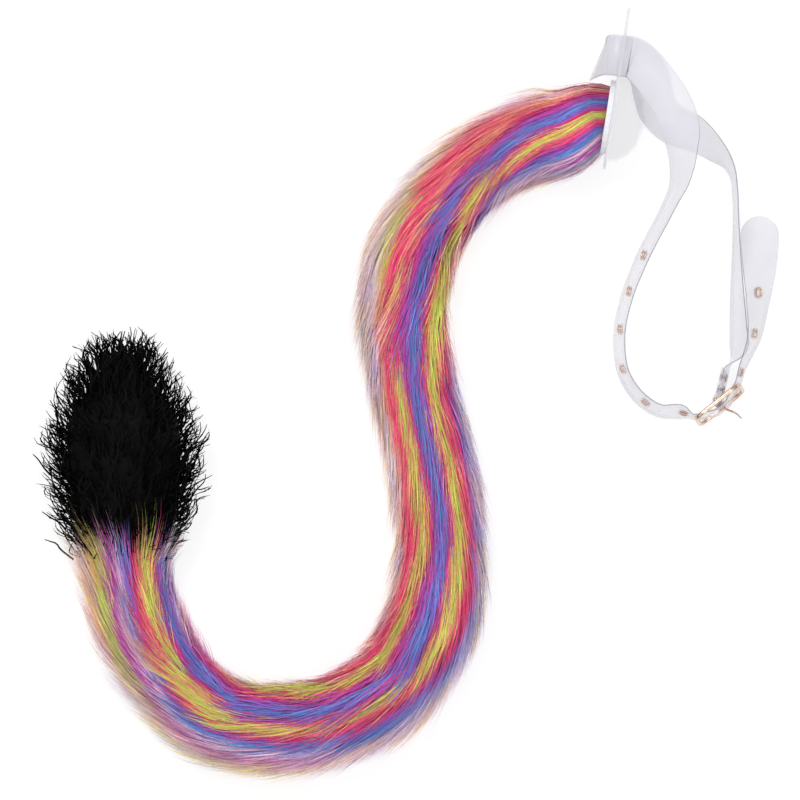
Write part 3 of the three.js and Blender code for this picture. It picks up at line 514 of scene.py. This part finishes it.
def bodyPiece():
    random = np.random.default_rng(body["seed"])
    rings, sides = body["rings"], body["sides"]
    runs = np.linspace(0.0, furLength, rings)
    angles = np.linspace(0, 2 * np.pi, sides, endpoint=False)
    run, angle = np.meshgrid(runs, angles, indexing="ij")
    share = np.where(run < body["rootLong"], body["rootShare"], body["share"])
    share = share + body["uneven"] * random.normal(0, 1, run.shape)
    half, flat = onRoute(run, fine[:, 3]), onRoute(run, fine[:, 4])
    height = onRoute(run, fine[:, 2]) + np.sin(angle) * share * half * flat
    place = onRoute(run, fine[:, :3]) + onRoute(run, routeSide) * (np.cos(angle) * share * half)[..., None]
    place[..., 2] = np.maximum(height, 0.0004)
    piece = meshObject("tail_body", place.reshape(-1, 3), gridFaces(rings, sides) + endFaces(rings, sides))
    # the stripes, darkened: painted shade deep inside the fur
    tintPoints(piece.data, stripeColours(run.ravel(), np.cos(angle).ravel(), random) * body["shadeUnderFur"])
    finishPiece(piece, stripedFur, "striped_fur", "tail_fur")


bodyPiece()
print("stage: stuffed body")


# black tip: a head with curly wisps of feather strands

tip = {
    "length": 0.190, "half": 0.067, "flat": 0.72, "lift": 0.0332, "seed": 3,
    "head": 0.6768, "headRings": 40, "headSides": 32, "headFrom": 0.03, "headTo": 0.9,
    "headRound": (0.905, 0.3), "headTint": (0.0018, 0.0018, 0.002), "grey": 0.0022,
    "wisps": 1550, "hairs": 7, "points": 9, "width": 0.0013, "spread": 0.0003, "curl": 0.0046,
    "angles": (-26, 206),  # angles round the tip that show from above
    "ends": (0.03, 1.0), "reach": (0.83, 0.22),  # where the wisps end, along the tip and out from its middle
    "long": (0.046, 0.008), "shortest": 0.024, "atBase": 0.016,  # length, and the most of it at the base
    "lean": (54, 14), "leanSpread": 9, "knee": 0.35,  # lean at base and end, and how much more below the knee
    # share of the length and of the half width
    "rows": [(0.0, 0.42), (0.02, 0.46), (0.1, 0.68), (0.27, 0.95), (0.44, 1.0), (0.6, 0.985), (0.73, 0.84),
             (0.86, 0.66), (0.94, 0.5), (0.98, 0.38), (1.0, 0.28)],
    # single curly strands that stand out at the side
    "strays": [[(-0.4343, -0.3768, 0.03), (-0.4448, -0.3684, 0.031), (-0.448, -0.364, 0.027),
                (-0.4524, -0.3624, 0.029), (-0.4576, -0.3608, 0.026)],
               [(-0.4404, -0.3532, 0.034), (-0.4454, -0.3474, 0.03), (-0.4532, -0.3428, 0.032),
                (-0.4596, -0.3384, 0.03)],
               [(-0.452, -0.3092, 0.03), (-0.4564, -0.3052, 0.034), (-0.4628, -0.2964, 0.031),
                (-0.4668, -0.2924, 0.033)]],
    "strayWidth": 0.0016,
}


def tipPlace(along, angle, share):
    half = np.interp(along, *zip(*tip["rows"])) * tip["half"] * share
    lift = tipStart[2] + (tip["lift"] - tipStart[2]) * smoothStep(along, 0, 0.4)
    middle = tipStart + tipWay * (along * tip["length"])[..., None]
    place = middle + tipSide * (np.cos(angle) * half)[..., None]
    place[..., 2] = lift + np.sin(angle) * half * tip["flat"]
    return place


def tipHead():
    rings, sides = tip["headRings"], tip["headSides"]
    lengths = np.linspace(tip["headFrom"], tip["headTo"], rings)
    angles = np.linspace(0, 2 * np.pi, sides, endpoint=False)
    along, angle = np.meshgrid(lengths, angles, indexing="ij")
    roundEnd, roundLong = tip["headRound"]
    rounded = np.sqrt(np.clip((roundEnd - along) / roundLong, 0, 1))
    points = tipPlace(along, angle, tip["head"] * rounded)
    points[..., 2] = np.maximum(points[..., 2], 0.0005)
    piece = meshObject("tip_head", points.reshape(-1, 3), gridFaces(rings, sides) + endFaces(rings, sides))
    tintPoints(piece.data, tip["headTint"])
    finishPiece(piece, blackFeather, "black_feather", "tail_tip")


def tipStrands():
    random = np.random.default_rng(tip["seed"])
    wisps, per, steps = tip["wisps"], tip["hairs"], tip["points"]
    ends = random.uniform(*tip["ends"], wisps) ** 0.92
    turn = anglesRound(random, wisps, *tip["angles"])
    share = tip["reach"][0] + tip["reach"][1] * random.random(wisps) ** 1.4
    leanFirst, leanLast = tip["lean"]
    lean = leanFirst + (leanLast - leanFirst) * ends + random.normal(0, tip["leanSpread"], wisps)
    lean = np.radians(lean)
    long = np.maximum(random.normal(*tip["long"], wisps), tip["shortest"])
    long = np.minimum(long, tip["atBase"] + ends * tip["length"])
    phase, turns = random.uniform(0, 2 * np.pi, wisps), random.uniform(0.7, 1.7, wisps)
    curl = tip["curl"] * random.uniform(0.3, 1.7, wisps)
    shade = random.uniform(0.5, 1.6, wisps)

    # a wisp bends forward from the head to its end on the outline
    end = tipPlace(ends, turn, share)
    radial = unit(tipSide * np.cos(turn)[:, None] + upward * (np.sin(turn) * tip["flat"])[:, None])

    def leaning(angle):
        return tipWay * np.cos(angle)[:, None] + radial * np.sin(angle)[:, None]

    wayIn, wayOut = leaning(lean + tip["knee"]), leaning(lean)
    start = end - (wayIn + wayOut) / 2 * long[:, None]
    beside = unit(np.cross(wayOut, radial))
    above = unit(np.cross(beside, wayOut))

    wisp = np.repeat(np.arange(wisps), per)
    count = len(wisp)
    t = np.linspace(0, 1, steps)[None, :] * random.uniform(0.82, 1.0, count)[:, None]
    bend = 2 * (t * (1 - t))[..., None]
    knee = start + wayIn * (long / 2)[:, None]
    centres = (start[wisp][:, None] * ((1 - t) ** 2)[..., None] + knee[wisp][:, None] * bend
               + end[wisp][:, None] * (t ** 2)[..., None])
    wave = phase[wisp][:, None] + turns[wisp][:, None] * 2 * np.pi * t
    size = curl[wisp][:, None] * t ** 1.5
    centres = centres + beside[wisp][:, None] * (size * np.sin(wave))[..., None]
    centres = centres + above[wisp][:, None] * (size * np.cos(wave))[..., None]
    spread = tip["spread"] * (1.15 - t)[..., None]
    centres = centres + beside[wisp][:, None] * random.normal(0, 1, (count, 1, 1)) * spread
    centres = centres + above[wisp][:, None] * random.normal(0, 1, (count, 1, 1)) * spread
    centres[..., 2] = np.maximum(centres[..., 2], 0.0006)

    outward = above[wisp][:, None] + random.normal(0, 0.4, (count, 1, 3)) + np.zeros((1, steps, 1))
    thinner = 1 - 0.5 * np.linspace(0, 1, steps) ** 3
    widths = tip["width"] * random.uniform(0.7, 1.2, count)[:, None] * thinner
    grey = tip["grey"] * shade[wisp] * random.uniform(0.7, 1.3, count)
    colours = np.repeat((grey[:, None] * np.array([1, 0.98, 1.04]))[:, None], steps, axis=1)

    strays = np.array([smoothRows(points, steps) for points in tip["strays"]])
    strayWidths = tip["strayWidth"] * (1 - 0.6 * np.linspace(0, 1, steps) ** 2) * np.ones((len(strays), 1))
    centres = np.concatenate([centres, strays])
    outward = np.concatenate([outward, strays * 0 + upward])
    widths = np.concatenate([widths, strayWidths])
    colours = np.concatenate([colours, strays * 0 + tip["grey"]])
    return centres, outward, widths, colours


featherLook = {"roughness": 0.7, "sheen": 0.0, "shine": 0.1, "fleck": 0.2}
blackFeather = strandMaterial("blackFeather", **featherLook)
tipHead()
finishPiece(strandObject("tip_wisps", *tipStrands()), blackFeather, "black_feather", "tail_tip")
print("stage: black tip")


# plate, pad and disc keep the model's shape, with soft shading between their facets

sharpOver = 38  # degrees between two facets from which their edge stays sharp


def softShading():
    group = bpy.data.node_groups.new("softShading", "GeometryNodeTree")
    group.interface.new_socket("Geometry", in_out="INPUT", socket_type="NodeSocketGeometry")
    group.interface.new_socket("Geometry", in_out="OUTPUT", socket_type="NodeSocketGeometry")
    start, end = group.nodes.new("NodeGroupInput"), group.nodes.new("NodeGroupOutput")
    faces = group.nodes.new("GeometryNodeSetShadeSmooth")
    sharp = group.nodes.new("GeometryNodeSetShadeSmooth")
    sharp.domain = "EDGE"
    sharp.inputs["Shade Smooth"].default_value = False
    angle = group.nodes.new("GeometryNodeInputMeshEdgeAngle")
    over = group.nodes.new("FunctionNodeCompare")
    over.inputs[1].default_value = math.radians(sharpOver)
    link = group.links.new
    link(start.outputs[0], faces.inputs["Geometry"])
    link(faces.outputs[0], sharp.inputs["Geometry"])
    link(angle.outputs["Unsigned Angle"], over.inputs[0])
    link(over.outputs[0], sharp.inputs["Selection"])
    link(sharp.outputs[0], end.inputs[0])
    return group


smoothGroup = softShading()


def dressNode(name, material):
    node = nodes[name]
    for slot in node.material_slots:
        slot.material = material
    if not node.material_slots:
        node.data.materials.append(material)
    node.modifiers.new("softShading", "NODES").node_group = smoothGroup


dressNode("back_plate", clearVinyl)
dressNode("back_pad", domeVinyl)
dressNode("base_disc", whiteFelt)
print("stage: plate, dome and disc")


# buckle's own directions, and the strap's route through it

buckle = {
    "middle": (0.0824, -0.253), "heading": 38.5, "lean": 80, "length": 0.047, "wire": 0.0036, "corner": 0.008,
    "clear": 0.0024, "bar": 0.003, "barSet": 0.002, "cornerSteps": 12, "wireSides": 18, "barSides": 16,
    # the strap's fold round the bar, with the rivets' distances from the bar
    "foldTurn": -39, "foldReach": 0.027, "rivets": (0.011, 0.021), "foldOpens": 0.0036, "eyeletHalf": 0.0017,
}
strap = {
    "width": 0.032, "thick": 0.0016, "gap": 0.0003, "reach": 0.0824, "drop": 0.253,
    "slot": 0.076, "plateTurn": 8.8, "slotUp": 0.026, "slotInset": 0.008, "slotSide": 0.002,
    "bulge": 0.018, "sag": 0.008, "tilt": 15,
    # eyelets beyond the buckle's bar, the end past the last of them and its rounding
    "after": 3, "spacing": 0.033, "tongueEnd": 0.062, "roundEnd": 0.016, "roundSteps": 14,
    "steps": 3000, "step": 0.0022, "corner": 0.00035, "sharpOver": 50,
    # over this first length both cut edges get only the faint painted edge shade
    "paleFold": 0.05,  # the cut edges stay pale over this first length
    # shares of reach and drop, turn and lean of the way to the upper edge, lower edge over the slot's height
    "far": [(1.183, 0.827, 4, 66, 0.04), (1.183, 0.745, 4, 67, 0.02), (1.173, 0.637, 0, 73, 0.004),
            (1.168, 0.511, 0, 80, 0.004), (1.163, 0.403, 14, 84, 0.004), (1.156, 0.334, 52, 81, 0.004),
            (1.134, 0.274, 74, 75, 0.004), (1.066, 0.228, 78, 66, 0.004), (0.96, 0.193, 77, 51, 0.004),
            (0.842, 0.161, 77, 36, 0.004), (0.711, 0.134, 74, 21, 0.004), (0.552, 0.114, 66, 4, 0.004),
            (0.413, 0.069, 46, 0, 0.004), (0.358, 0.014, 18, 0, 0.01), (0.324, -0.037, 29, 0, 0.03),
            (0.254, -0.073, 56, 0, 0.07)],
    "near": [(0.262, -0.069, 54, 0, 0.99), (0.41, -0.01, 34, 3, 0.97), (0.522, 0.044, 29, 6, 0.93),
             (0.592, 0.099, 28, 13, 0.88), (0.622, 0.15, 25, 25, 0.82), (0.629, 0.198, 18, 42, 0.76),
             (0.623, 0.249, 9, 54, 0.7), (0.592, 0.303, 6, 63, 0.645), (0.531, 0.353, 2, 70, 0.6),
             (0.451, 0.407, -6, 72, 0.545), (0.338, 0.477, -12, 73, 0.47), (0.229, 0.55, -4, 73, 0.38),
             (0.108, 0.651, 8, 74, 0.25), (0.031, 0.768, 12, 75, 0.12), (0.051, 0.878, 20, 75, 0.035),
             (0.126, 0.937, 36, 74, 0.012), (0.268, 0.991, 62, 72, 0.025), (0.432, 1.02, 84, 72, 0.045),
             (0.643, 1.023, 98, 70, 0.065)],
    "free": [(1.222, 0.884, 158, 80, 0.08), (1.337, 0.784, 170, 70, 0.09), (1.372, 0.669, 178, 54, 0.09),
             (1.39, 0.549, 180, 30, 0.09), (1.395, 0.463, 180, 16, 0.09), (1.4, 0.365, 181, 14, 0.09)],
}
heading, lean = math.radians(buckle["heading"]), math.radians(buckle["lean"])
alongBuckle = np.array([math.cos(heading), math.sin(heading), 0])
acrossBuckle = unit(np.array([-math.sin(heading), math.cos(heading), math.tan(lean)]))
outOfBuckle = np.cross(alongBuckle, acrossBuckle)
frameHalf = strap["width"] / 2 + buckle["clear"] + buckle["wire"] / 2
frameLong = buckle["length"] / 2 - buckle["wire"] / 2
buckleMiddle = np.array([*buckle["middle"], frameHalf * math.sin(lean) + buckle["wire"] / 2])
layerHalf = (strap["thick"] + strap["gap"]) / 2
overBar = -buckle["barSet"] + buckle["bar"] / 2 + 2 * strap["gap"] + strap["thick"] + buckle["eyeletHalf"]


def atBuckle(along, out, across=0.0):
    return buckleMiddle + alongBuckle * along + outOfBuckle * out + acrossBuckle * across


def onPlate(x, y, z=0.0):
    turn = -math.radians(strap["plateTurn"])
    return np.array([x * math.cos(turn) - y * math.sin(turn), x * math.sin(turn) + y * math.cos(turn), z])


def beltStations():
    width, thick = strap["width"], strap["thick"]

    def onFloor(row):
        x, y, turn, tilt, low = row[0], row[1], math.radians(row[2]), math.radians(row[3]), row[4]
        way = [math.cos(turn) * math.cos(tilt), math.sin(turn) * math.cos(tilt), math.sin(tilt)]
        height = low * strap["slot"] + (width * math.sin(tilt) + thick * math.cos(tilt)) / 2
        return [x * strap["reach"], -y * strap["drop"], height, *way]

    def inBuckle(along, out):
        return [*atBuckle(along, out), *acrossBuckle]

    turn = math.radians(buckle["foldTurn"])

    def inFold(along, aside):
        return inBuckle(along * math.cos(turn) - aside * math.sin(turn),
                        along * math.sin(turn) + aside * math.cos(turn) - buckle["barSet"])

    bend = buckle["bar"] / 2 + strap["gap"] + thick / 2
    nearRivet, farRivet = buckle["rivets"]
    apart = [buckle["foldReach"], farRivet, nearRivet, nearRivet - buckle["foldOpens"]]
    fold = [inFold(a, -layerHalf) for a in apart]
    for degrees in range(-90, -271, -30):
        angle = math.radians(degrees)
        fold.append(inFold(bend * math.cos(angle), bend * math.sin(angle)))
    fold += [inFold(a, layerHalf) for a in apart[::-1]]

    straight = [share * strap["slotSide"] for share in (4.5, 1, -1, -2.2)]
    low, high = strap["slotInset"], strap["slot"]
    bulge = [[*onPlate(x, strap["slotUp"], low), *onPlate(0, 1)] for x in straight]
    for angle in (-60, -30, 0, 30, 60):
        swell = math.cos(math.radians(angle))
        tilt = math.radians(strap["tilt"]) * swell ** 2
        x = straight[-1] + (-strap["bulge"] - straight[-1]) * swell
        height = (low + high) / 2 + (high - low) / 2 * math.sin(math.radians(angle))
        bulge.append([*onPlate(x, strap["slotUp"] - strap["sag"] * swell ** 3, height),
                      *onPlate(math.sin(tilt), math.cos(tilt))])
    bulge += [[*onPlate(x, strap["slotUp"], high), *onPlate(0, 1)] for x in straight[::-1]]

    under, flat = -(buckle["wire"] / 2 + strap["gap"] + thick), 0.0055
    between = (under + overBar) / 2
    tongue = [(-frameLong, under - 0.0012), (-frameLong * 0.62, between), (-flat, overBar), (0, overBar),
              (flat, overBar), (frameLong * 0.58, between), (frameLong, under - 0.0004)]
    rows = fold + [onFloor(row) for row in strap["far"]] + bulge + [onFloor(row) for row in strap["near"]]
    rows += [inBuckle(*place) for place in tongue] + [onFloor(row) for row in strap["free"]]
    return np.array(rows, float)


def beltPiece():
    route = smoothRows(beltStations(), strap["steps"])
    middles = route[:, :3]
    runs = np.r_[0, np.cumsum(np.linalg.norm(np.diff(middles, axis=0), axis=1))]
    barRun = runs[np.argmin(np.linalg.norm(middles - atBuckle(0, overBar), axis=1))]
    end = barRun + strap["after"] * strap["spacing"] + strap["tongueEnd"]
    along = unit(np.gradient(middles, axis=0))
    across = unit(route[:, 3:] - along * np.einsum("ij,ij->i", route[:, 3:], along)[:, None])
    count = int(end / strap["step"])
    roundEnd = strap["roundEnd"]
    rounding = np.sin(np.linspace(0.08, 1, strap["roundSteps"]) * math.pi / 2)
    at = np.r_[np.linspace(0, end - roundEnd, count), end - roundEnd + roundEnd * rounding]
    past = np.maximum(0, at - runs[-1])
    middle = readAt(at, runs, middles) + readAt(at, runs, along) * past[:, None]
    width, ahead = unit(readAt(at, runs, across)), unit(readAt(at, runs, along))
    out = unit(np.cross(ahead, width))
    lowest = middle[:, 2] - (np.abs(width[:, 2]) * strap["width"] + np.abs(out[:, 2]) * strap["thick"]) / 2
    middle[:, 2] += np.maximum(0, -lowest)
    over = np.maximum(0, at - (end - roundEnd)) / roundEnd
    half = strap["width"] / 2 * np.sqrt(np.maximum(1 - over ** 2, 0.0004))
    thick, corner = strap["thick"] / 2, strap["corner"]
    # eight points round the section: two broad faces, two cut edges and their rounded corners
    section = [(-1, -corner, -1, 0), (-1, 0, -1, corner), (-1, 0, 1, -corner), (-1, -corner, 1, 0),
               (1, -corner, 1, 0), (1, 0, 1, -corner), (1, 0, -1, corner), (1, -corner, -1, 0)]
    rings = []
    for side, less, face, inset in section:
        reach = np.maximum(half + less, 0.0002)
        rings.append(middle + width * (side * reach)[:, None] + out * (face * thick + inset))
    points = np.stack(rings, axis=1)
    total, sides = len(at), len(section)
    faces = gridFaces(total, sides) + endFaces(total, sides)
    piece = meshObject("strap_vinyl", points.reshape(-1, 3), faces)
    for material in (clearVinyl, cutEdgeShade, faintCutEdgeShade):
        piece.data.materials.append(material)
    # cut edges: painted shade for the line that refraction draws along them, strong on the upper one, faint
    # on the lower one and along the fold
    edge = []
    for place in at[:-1]:
        edge += [0, 2, 0, 0, 0, 1 if place > strap["paleFold"] else 2, 0, 0]
    piece.data.polygons.foreach_set("material_index", edge + [2, 2])
    piece.data.set_sharp_from_angle(angle=math.radians(strap["sharpOver"]))
    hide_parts("belt")
    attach(piece, "root")


beltPiece()
print("stage: strap")


# rose gold eyelets, turned round the middle and axis of the model's own

def ringPoint(centre, right, forward, radius, angle):
    return centre + right * radius * math.cos(angle) + forward * radius * math.sin(angle)


def mirrored(profile):
    # rows of distance from the axis, height and depth of the star, and the same below
    return profile + [(out, -up, star) for out, up, star in profile[::-1]]


def turnedPiece(name, centre, axis, profile, sides, petals=0):
    right = unit(np.cross(axis, [0.3, 0.5, 0.81]))
    forward = np.cross(axis, right)
    points = []
    for out, up, star in profile:
        for k in range(sides):
            angle = 2 * math.pi * k / sides
            radius = out * (1 - (star * abs(math.cos(petals * angle / 2)) if petals else 0))
            points.append(ringPoint(centre, right, forward, radius, angle) + axis * up)
    return meshObject(name, points, gridFaces(len(profile), sides, closedRows=True))


def middleAndAxis(node):
    points = np.array([v.co for v in nodes[node].data.vertices])
    directions = np.linalg.svd(points - points.mean(0))[2]
    return points.mean(0), directions[-1]


eyelet = {
    "count": 10, "bore": 0.0028, "outer": 0.0045, "half": 0.0012, "inside": 0.0009, "sides": 36, "petals": 6,
}


def eyeletPiece(node):
    centre, axis = middleAndAxis(node)
    bore, outer, half, inside = eyelet["bore"], eyelet["outer"], eyelet["half"], eyelet["inside"]
    wide = outer - bore
    upper = [(bore + 0.0002, half * 0.7, 0.1), (bore + wide * 0.15, half * 0.96, 0.04),
             (bore + wide * 0.45, half + 0.0002, 0), (bore + wide * 0.8, half * 0.95, 0),
             (outer, inside + 0.0002, 0), (outer - 0.0004, inside, 0), (bore + 0.0006, inside, 0)]
    profile = [(bore + 0.0005, 0, 0)] + mirrored(upper)
    name = node.replace("eyelet", "eyelet_ring")
    piece = turnedPiece(name, centre, axis, profile, eyelet["sides"], eyelet["petals"])
    finishPiece(piece, roseGold, "rose_gold", node)


for number in range(1, eyelet["count"] + 1):
    eyeletPiece(f"eyelet_{number:02d}")


# buckle: a bent wire frame with its bar, prong and two rivets behind

def tube(centres, rights, forwards, radii, sides, closed):
    points = []
    for centre, right, forward, radius in zip(centres, rights, forwards, radii):
        points += [ringPoint(centre, right, forward, radius, 2 * math.pi * k / sides) for k in range(sides)]
    faces = gridFaces(len(centres), sides, closedRows=closed)
    return points, faces if closed else faces + endFaces(len(centres), sides)


def joinedPiece(name, parts):
    points, faces = [], []
    for partPoints, partFaces in parts:
        start = len(points)
        points += list(partPoints)
        faces += [tuple(start + i for i in face) for face in partFaces]
    return meshObject(name, points, faces)


def framePiece():
    centres, rights = [], []
    corner, steps = buckle["corner"], buckle["cornerSteps"]
    for quarter in range(4):
        alongSide = 1 if quarter in (0, 3) else -1
        acrossSide = 1 if quarter < 2 else -1
        for k in range(steps + 1):
            angle = math.pi / 2 * (quarter + k / steps)
            c, s = math.cos(angle), math.sin(angle)
            centres.append(atBuckle(alongSide * (frameLong - corner) + corner * c, 0,
                                    acrossSide * (frameHalf - corner) + corner * s))
            rights.append(alongBuckle * c + acrossBuckle * s)
    count = len(centres)
    half = buckle["wire"] / 2
    loop = tube(centres, rights, [outOfBuckle] * count, [half] * count, buckle["wireSides"], True)
    ends = [atBuckle(0, -buckle["barSet"], side * frameHalf) for side in (-1, -0.5, 0, 0.5, 1)]
    bar = tube(ends, [alongBuckle] * 5, [outOfBuckle] * 5, [buckle["bar"] / 2] * 5, buckle["barSides"], False)
    finishPiece(joinedPiece("buckle_loop", [loop, bar]), roseGold, "rose_gold", "buckle_frame")


prong = {
    "wire": 0.0018, "steps": 24, "sides": 12, "eyeSides": 10, "taper": 0.35, "point": 0.3,
    # along the buckle, and over the strap that lies on the bar
    "rows": [(0.0006, 0), (0.0026, 0.004), (0.006, 0.0105), (0.007, 0.017)],
}


def prongPiece():
    steps, half = prong["steps"], prong["wire"] / 2
    # an eye round the bar, and the wire out of it through the strap
    inner = buckle["bar"] / 2 + strap["gap"]
    outer = inner + prong["wire"]
    reach = (inner + outer) / 2
    ring = []
    for k in range(steps):
        angle = 2 * math.pi * k / steps
        ring.append(atBuckle(reach * math.cos(angle), reach * math.sin(angle) - buckle["barSet"]))
    ways = [unit(p - atBuckle(0, -buckle["barSet"])) for p in ring]
    eye = tube(ring, ways, [acrossBuckle] * steps, [half] * steps, prong["eyeSides"], True)
    route = [(0.0, 0.0006)] + [(along, overBar + up) for along, up in prong["rows"]]
    points = smoothRows([atBuckle(along, out) for along, out in route], steps)
    along = unit(np.gradient(points, axis=0))
    forwards = unit(np.cross(along, acrossBuckle))
    radii = half * (1 - prong["taper"] * np.linspace(0, 1, steps) ** 3)
    radii[-1] *= prong["point"]
    wire = tube(points, [acrossBuckle] * steps, forwards, radii, prong["sides"], False)
    finishPiece(joinedPiece("prong_wire", [eye, wire]), roseGold, "rose_gold", "buckle_prong")


rivet = {
    "sides": 24,
    # half of its section: distance from the axis and height over the strap's face
    "rows": [(0.0012, 0), (0.0034, 0), (0.0034, 0.0003), (0.003, 0.0008), (0.0021, 0.0008), (0.0016, 0.0003),
             (0.0001, 0.0003)],
}


def rivetPiece(number, distance):
    turn = math.radians(buckle["foldTurn"])
    centre = atBuckle(distance * math.cos(turn), distance * math.sin(turn) - buckle["barSet"])
    axis = -alongBuckle * math.sin(turn) + outOfBuckle * math.cos(turn)
    face = layerHalf + strap["thick"] / 2 + strap["gap"]
    profile = mirrored([(out, face + up, 0) for out, up in rivet["rows"]])[::-1]
    piece = turnedPiece(f"rivet_head_{number}", centre, axis, profile, rivet["sides"])
    finishPiece(piece, roseGold, "rose_gold", f"rivet_{number}")


framePiece()
prongPiece()
for number, distance in enumerate(buckle["rivets"], 1):
    rivetPiece(number, distance)
print("stage: metal")


# floor and light

stageLook = {
    "floor": 8.0, "under": 0.0003, "pale": 0.3, "glow": 0.74, "world": 1.0,
    # place, size and power of the lights, and where they point
    "key": ((-1.1, 0.9, 2.0), 1.2, 24.0), "fill": ((1.2, -1.2, 1.6), 1.4, 12.0), "aim": (-0.17, -0.25, 0),
    # brightness of the room from straight below to straight above, for the metal to mirror
    "room": [(0.0, 1.0), (0.5, 0.75), (0.56, 0.16), (0.66, 0.3), (0.76, 0.95), (0.9, 1.0), (0.95, 0.7),
             (1.0, 1.0)],
}
floorMaterial, _, floorShader = newMaterial("paleFloor")
floorShader.inputs["Base Color"].default_value = (*(stageLook["pale"],) * 3, 1)
floorShader.inputs["Emission Color"].default_value = (1, 1, 1, 1)
floorShader.inputs["Emission Strength"].default_value = stageLook["glow"]
floorShader.inputs["Roughness"].default_value = 0.9
floorShader.inputs["Specular IOR Level"].default_value = 0.1
side, low = stageLook["floor"], -stageLook["under"]
corners = [(x * side, y * side, low) for x, y in ((-1, -1), (1, -1), (1, 1), (-1, 1))]
floor = meshObject("floor", corners, [(0, 1, 2, 3)], False)
floor.data.materials.append(floorMaterial)

world = bpy.data.worlds.new("studio")
world.use_nodes = True
background = world.node_tree.nodes["Background"]
direction = addNode(world.node_tree, "ShaderNodeTexCoord")
split = addNode(world.node_tree, "ShaderNodeSeparateXYZ", i0=direction.outputs["Generated"])
raised = addNode(world.node_tree, "ShaderNodeMapRange", Value=split.outputs["Z"])
raised.inputs["From Min"].default_value = -1
room = rampNode(world.node_tree, raised.outputs[0], [(at, (share,) * 3) for at, share in stageLook["room"]])
world.node_tree.links.new(room.outputs[0], background.inputs[0])
background.inputs[1].default_value = stageLook["world"]
scene.world = world


def areaLight(name, place, size, power):
    light = bpy.data.lights.new(name, "AREA")
    light.shape = "DISK"
    light.size = size
    light.energy = power
    lamp = bpy.data.objects.new(name, light)
    lamp.location = place
    lamp.rotation_mode = "QUATERNION"
    lamp.rotation_quaternion = (Vector(place) - Vector(stageLook["aim"])).to_track_quat("Z", "Y")
    scene.collection.objects.link(lamp)


areaLight("keyLight", *stageLook["key"])
areaLight("fillLight", *stageLook["fill"])
scene.view_settings.view_transform = "Standard"
scene.view_settings.look = "None"
print("stage: floor and light")
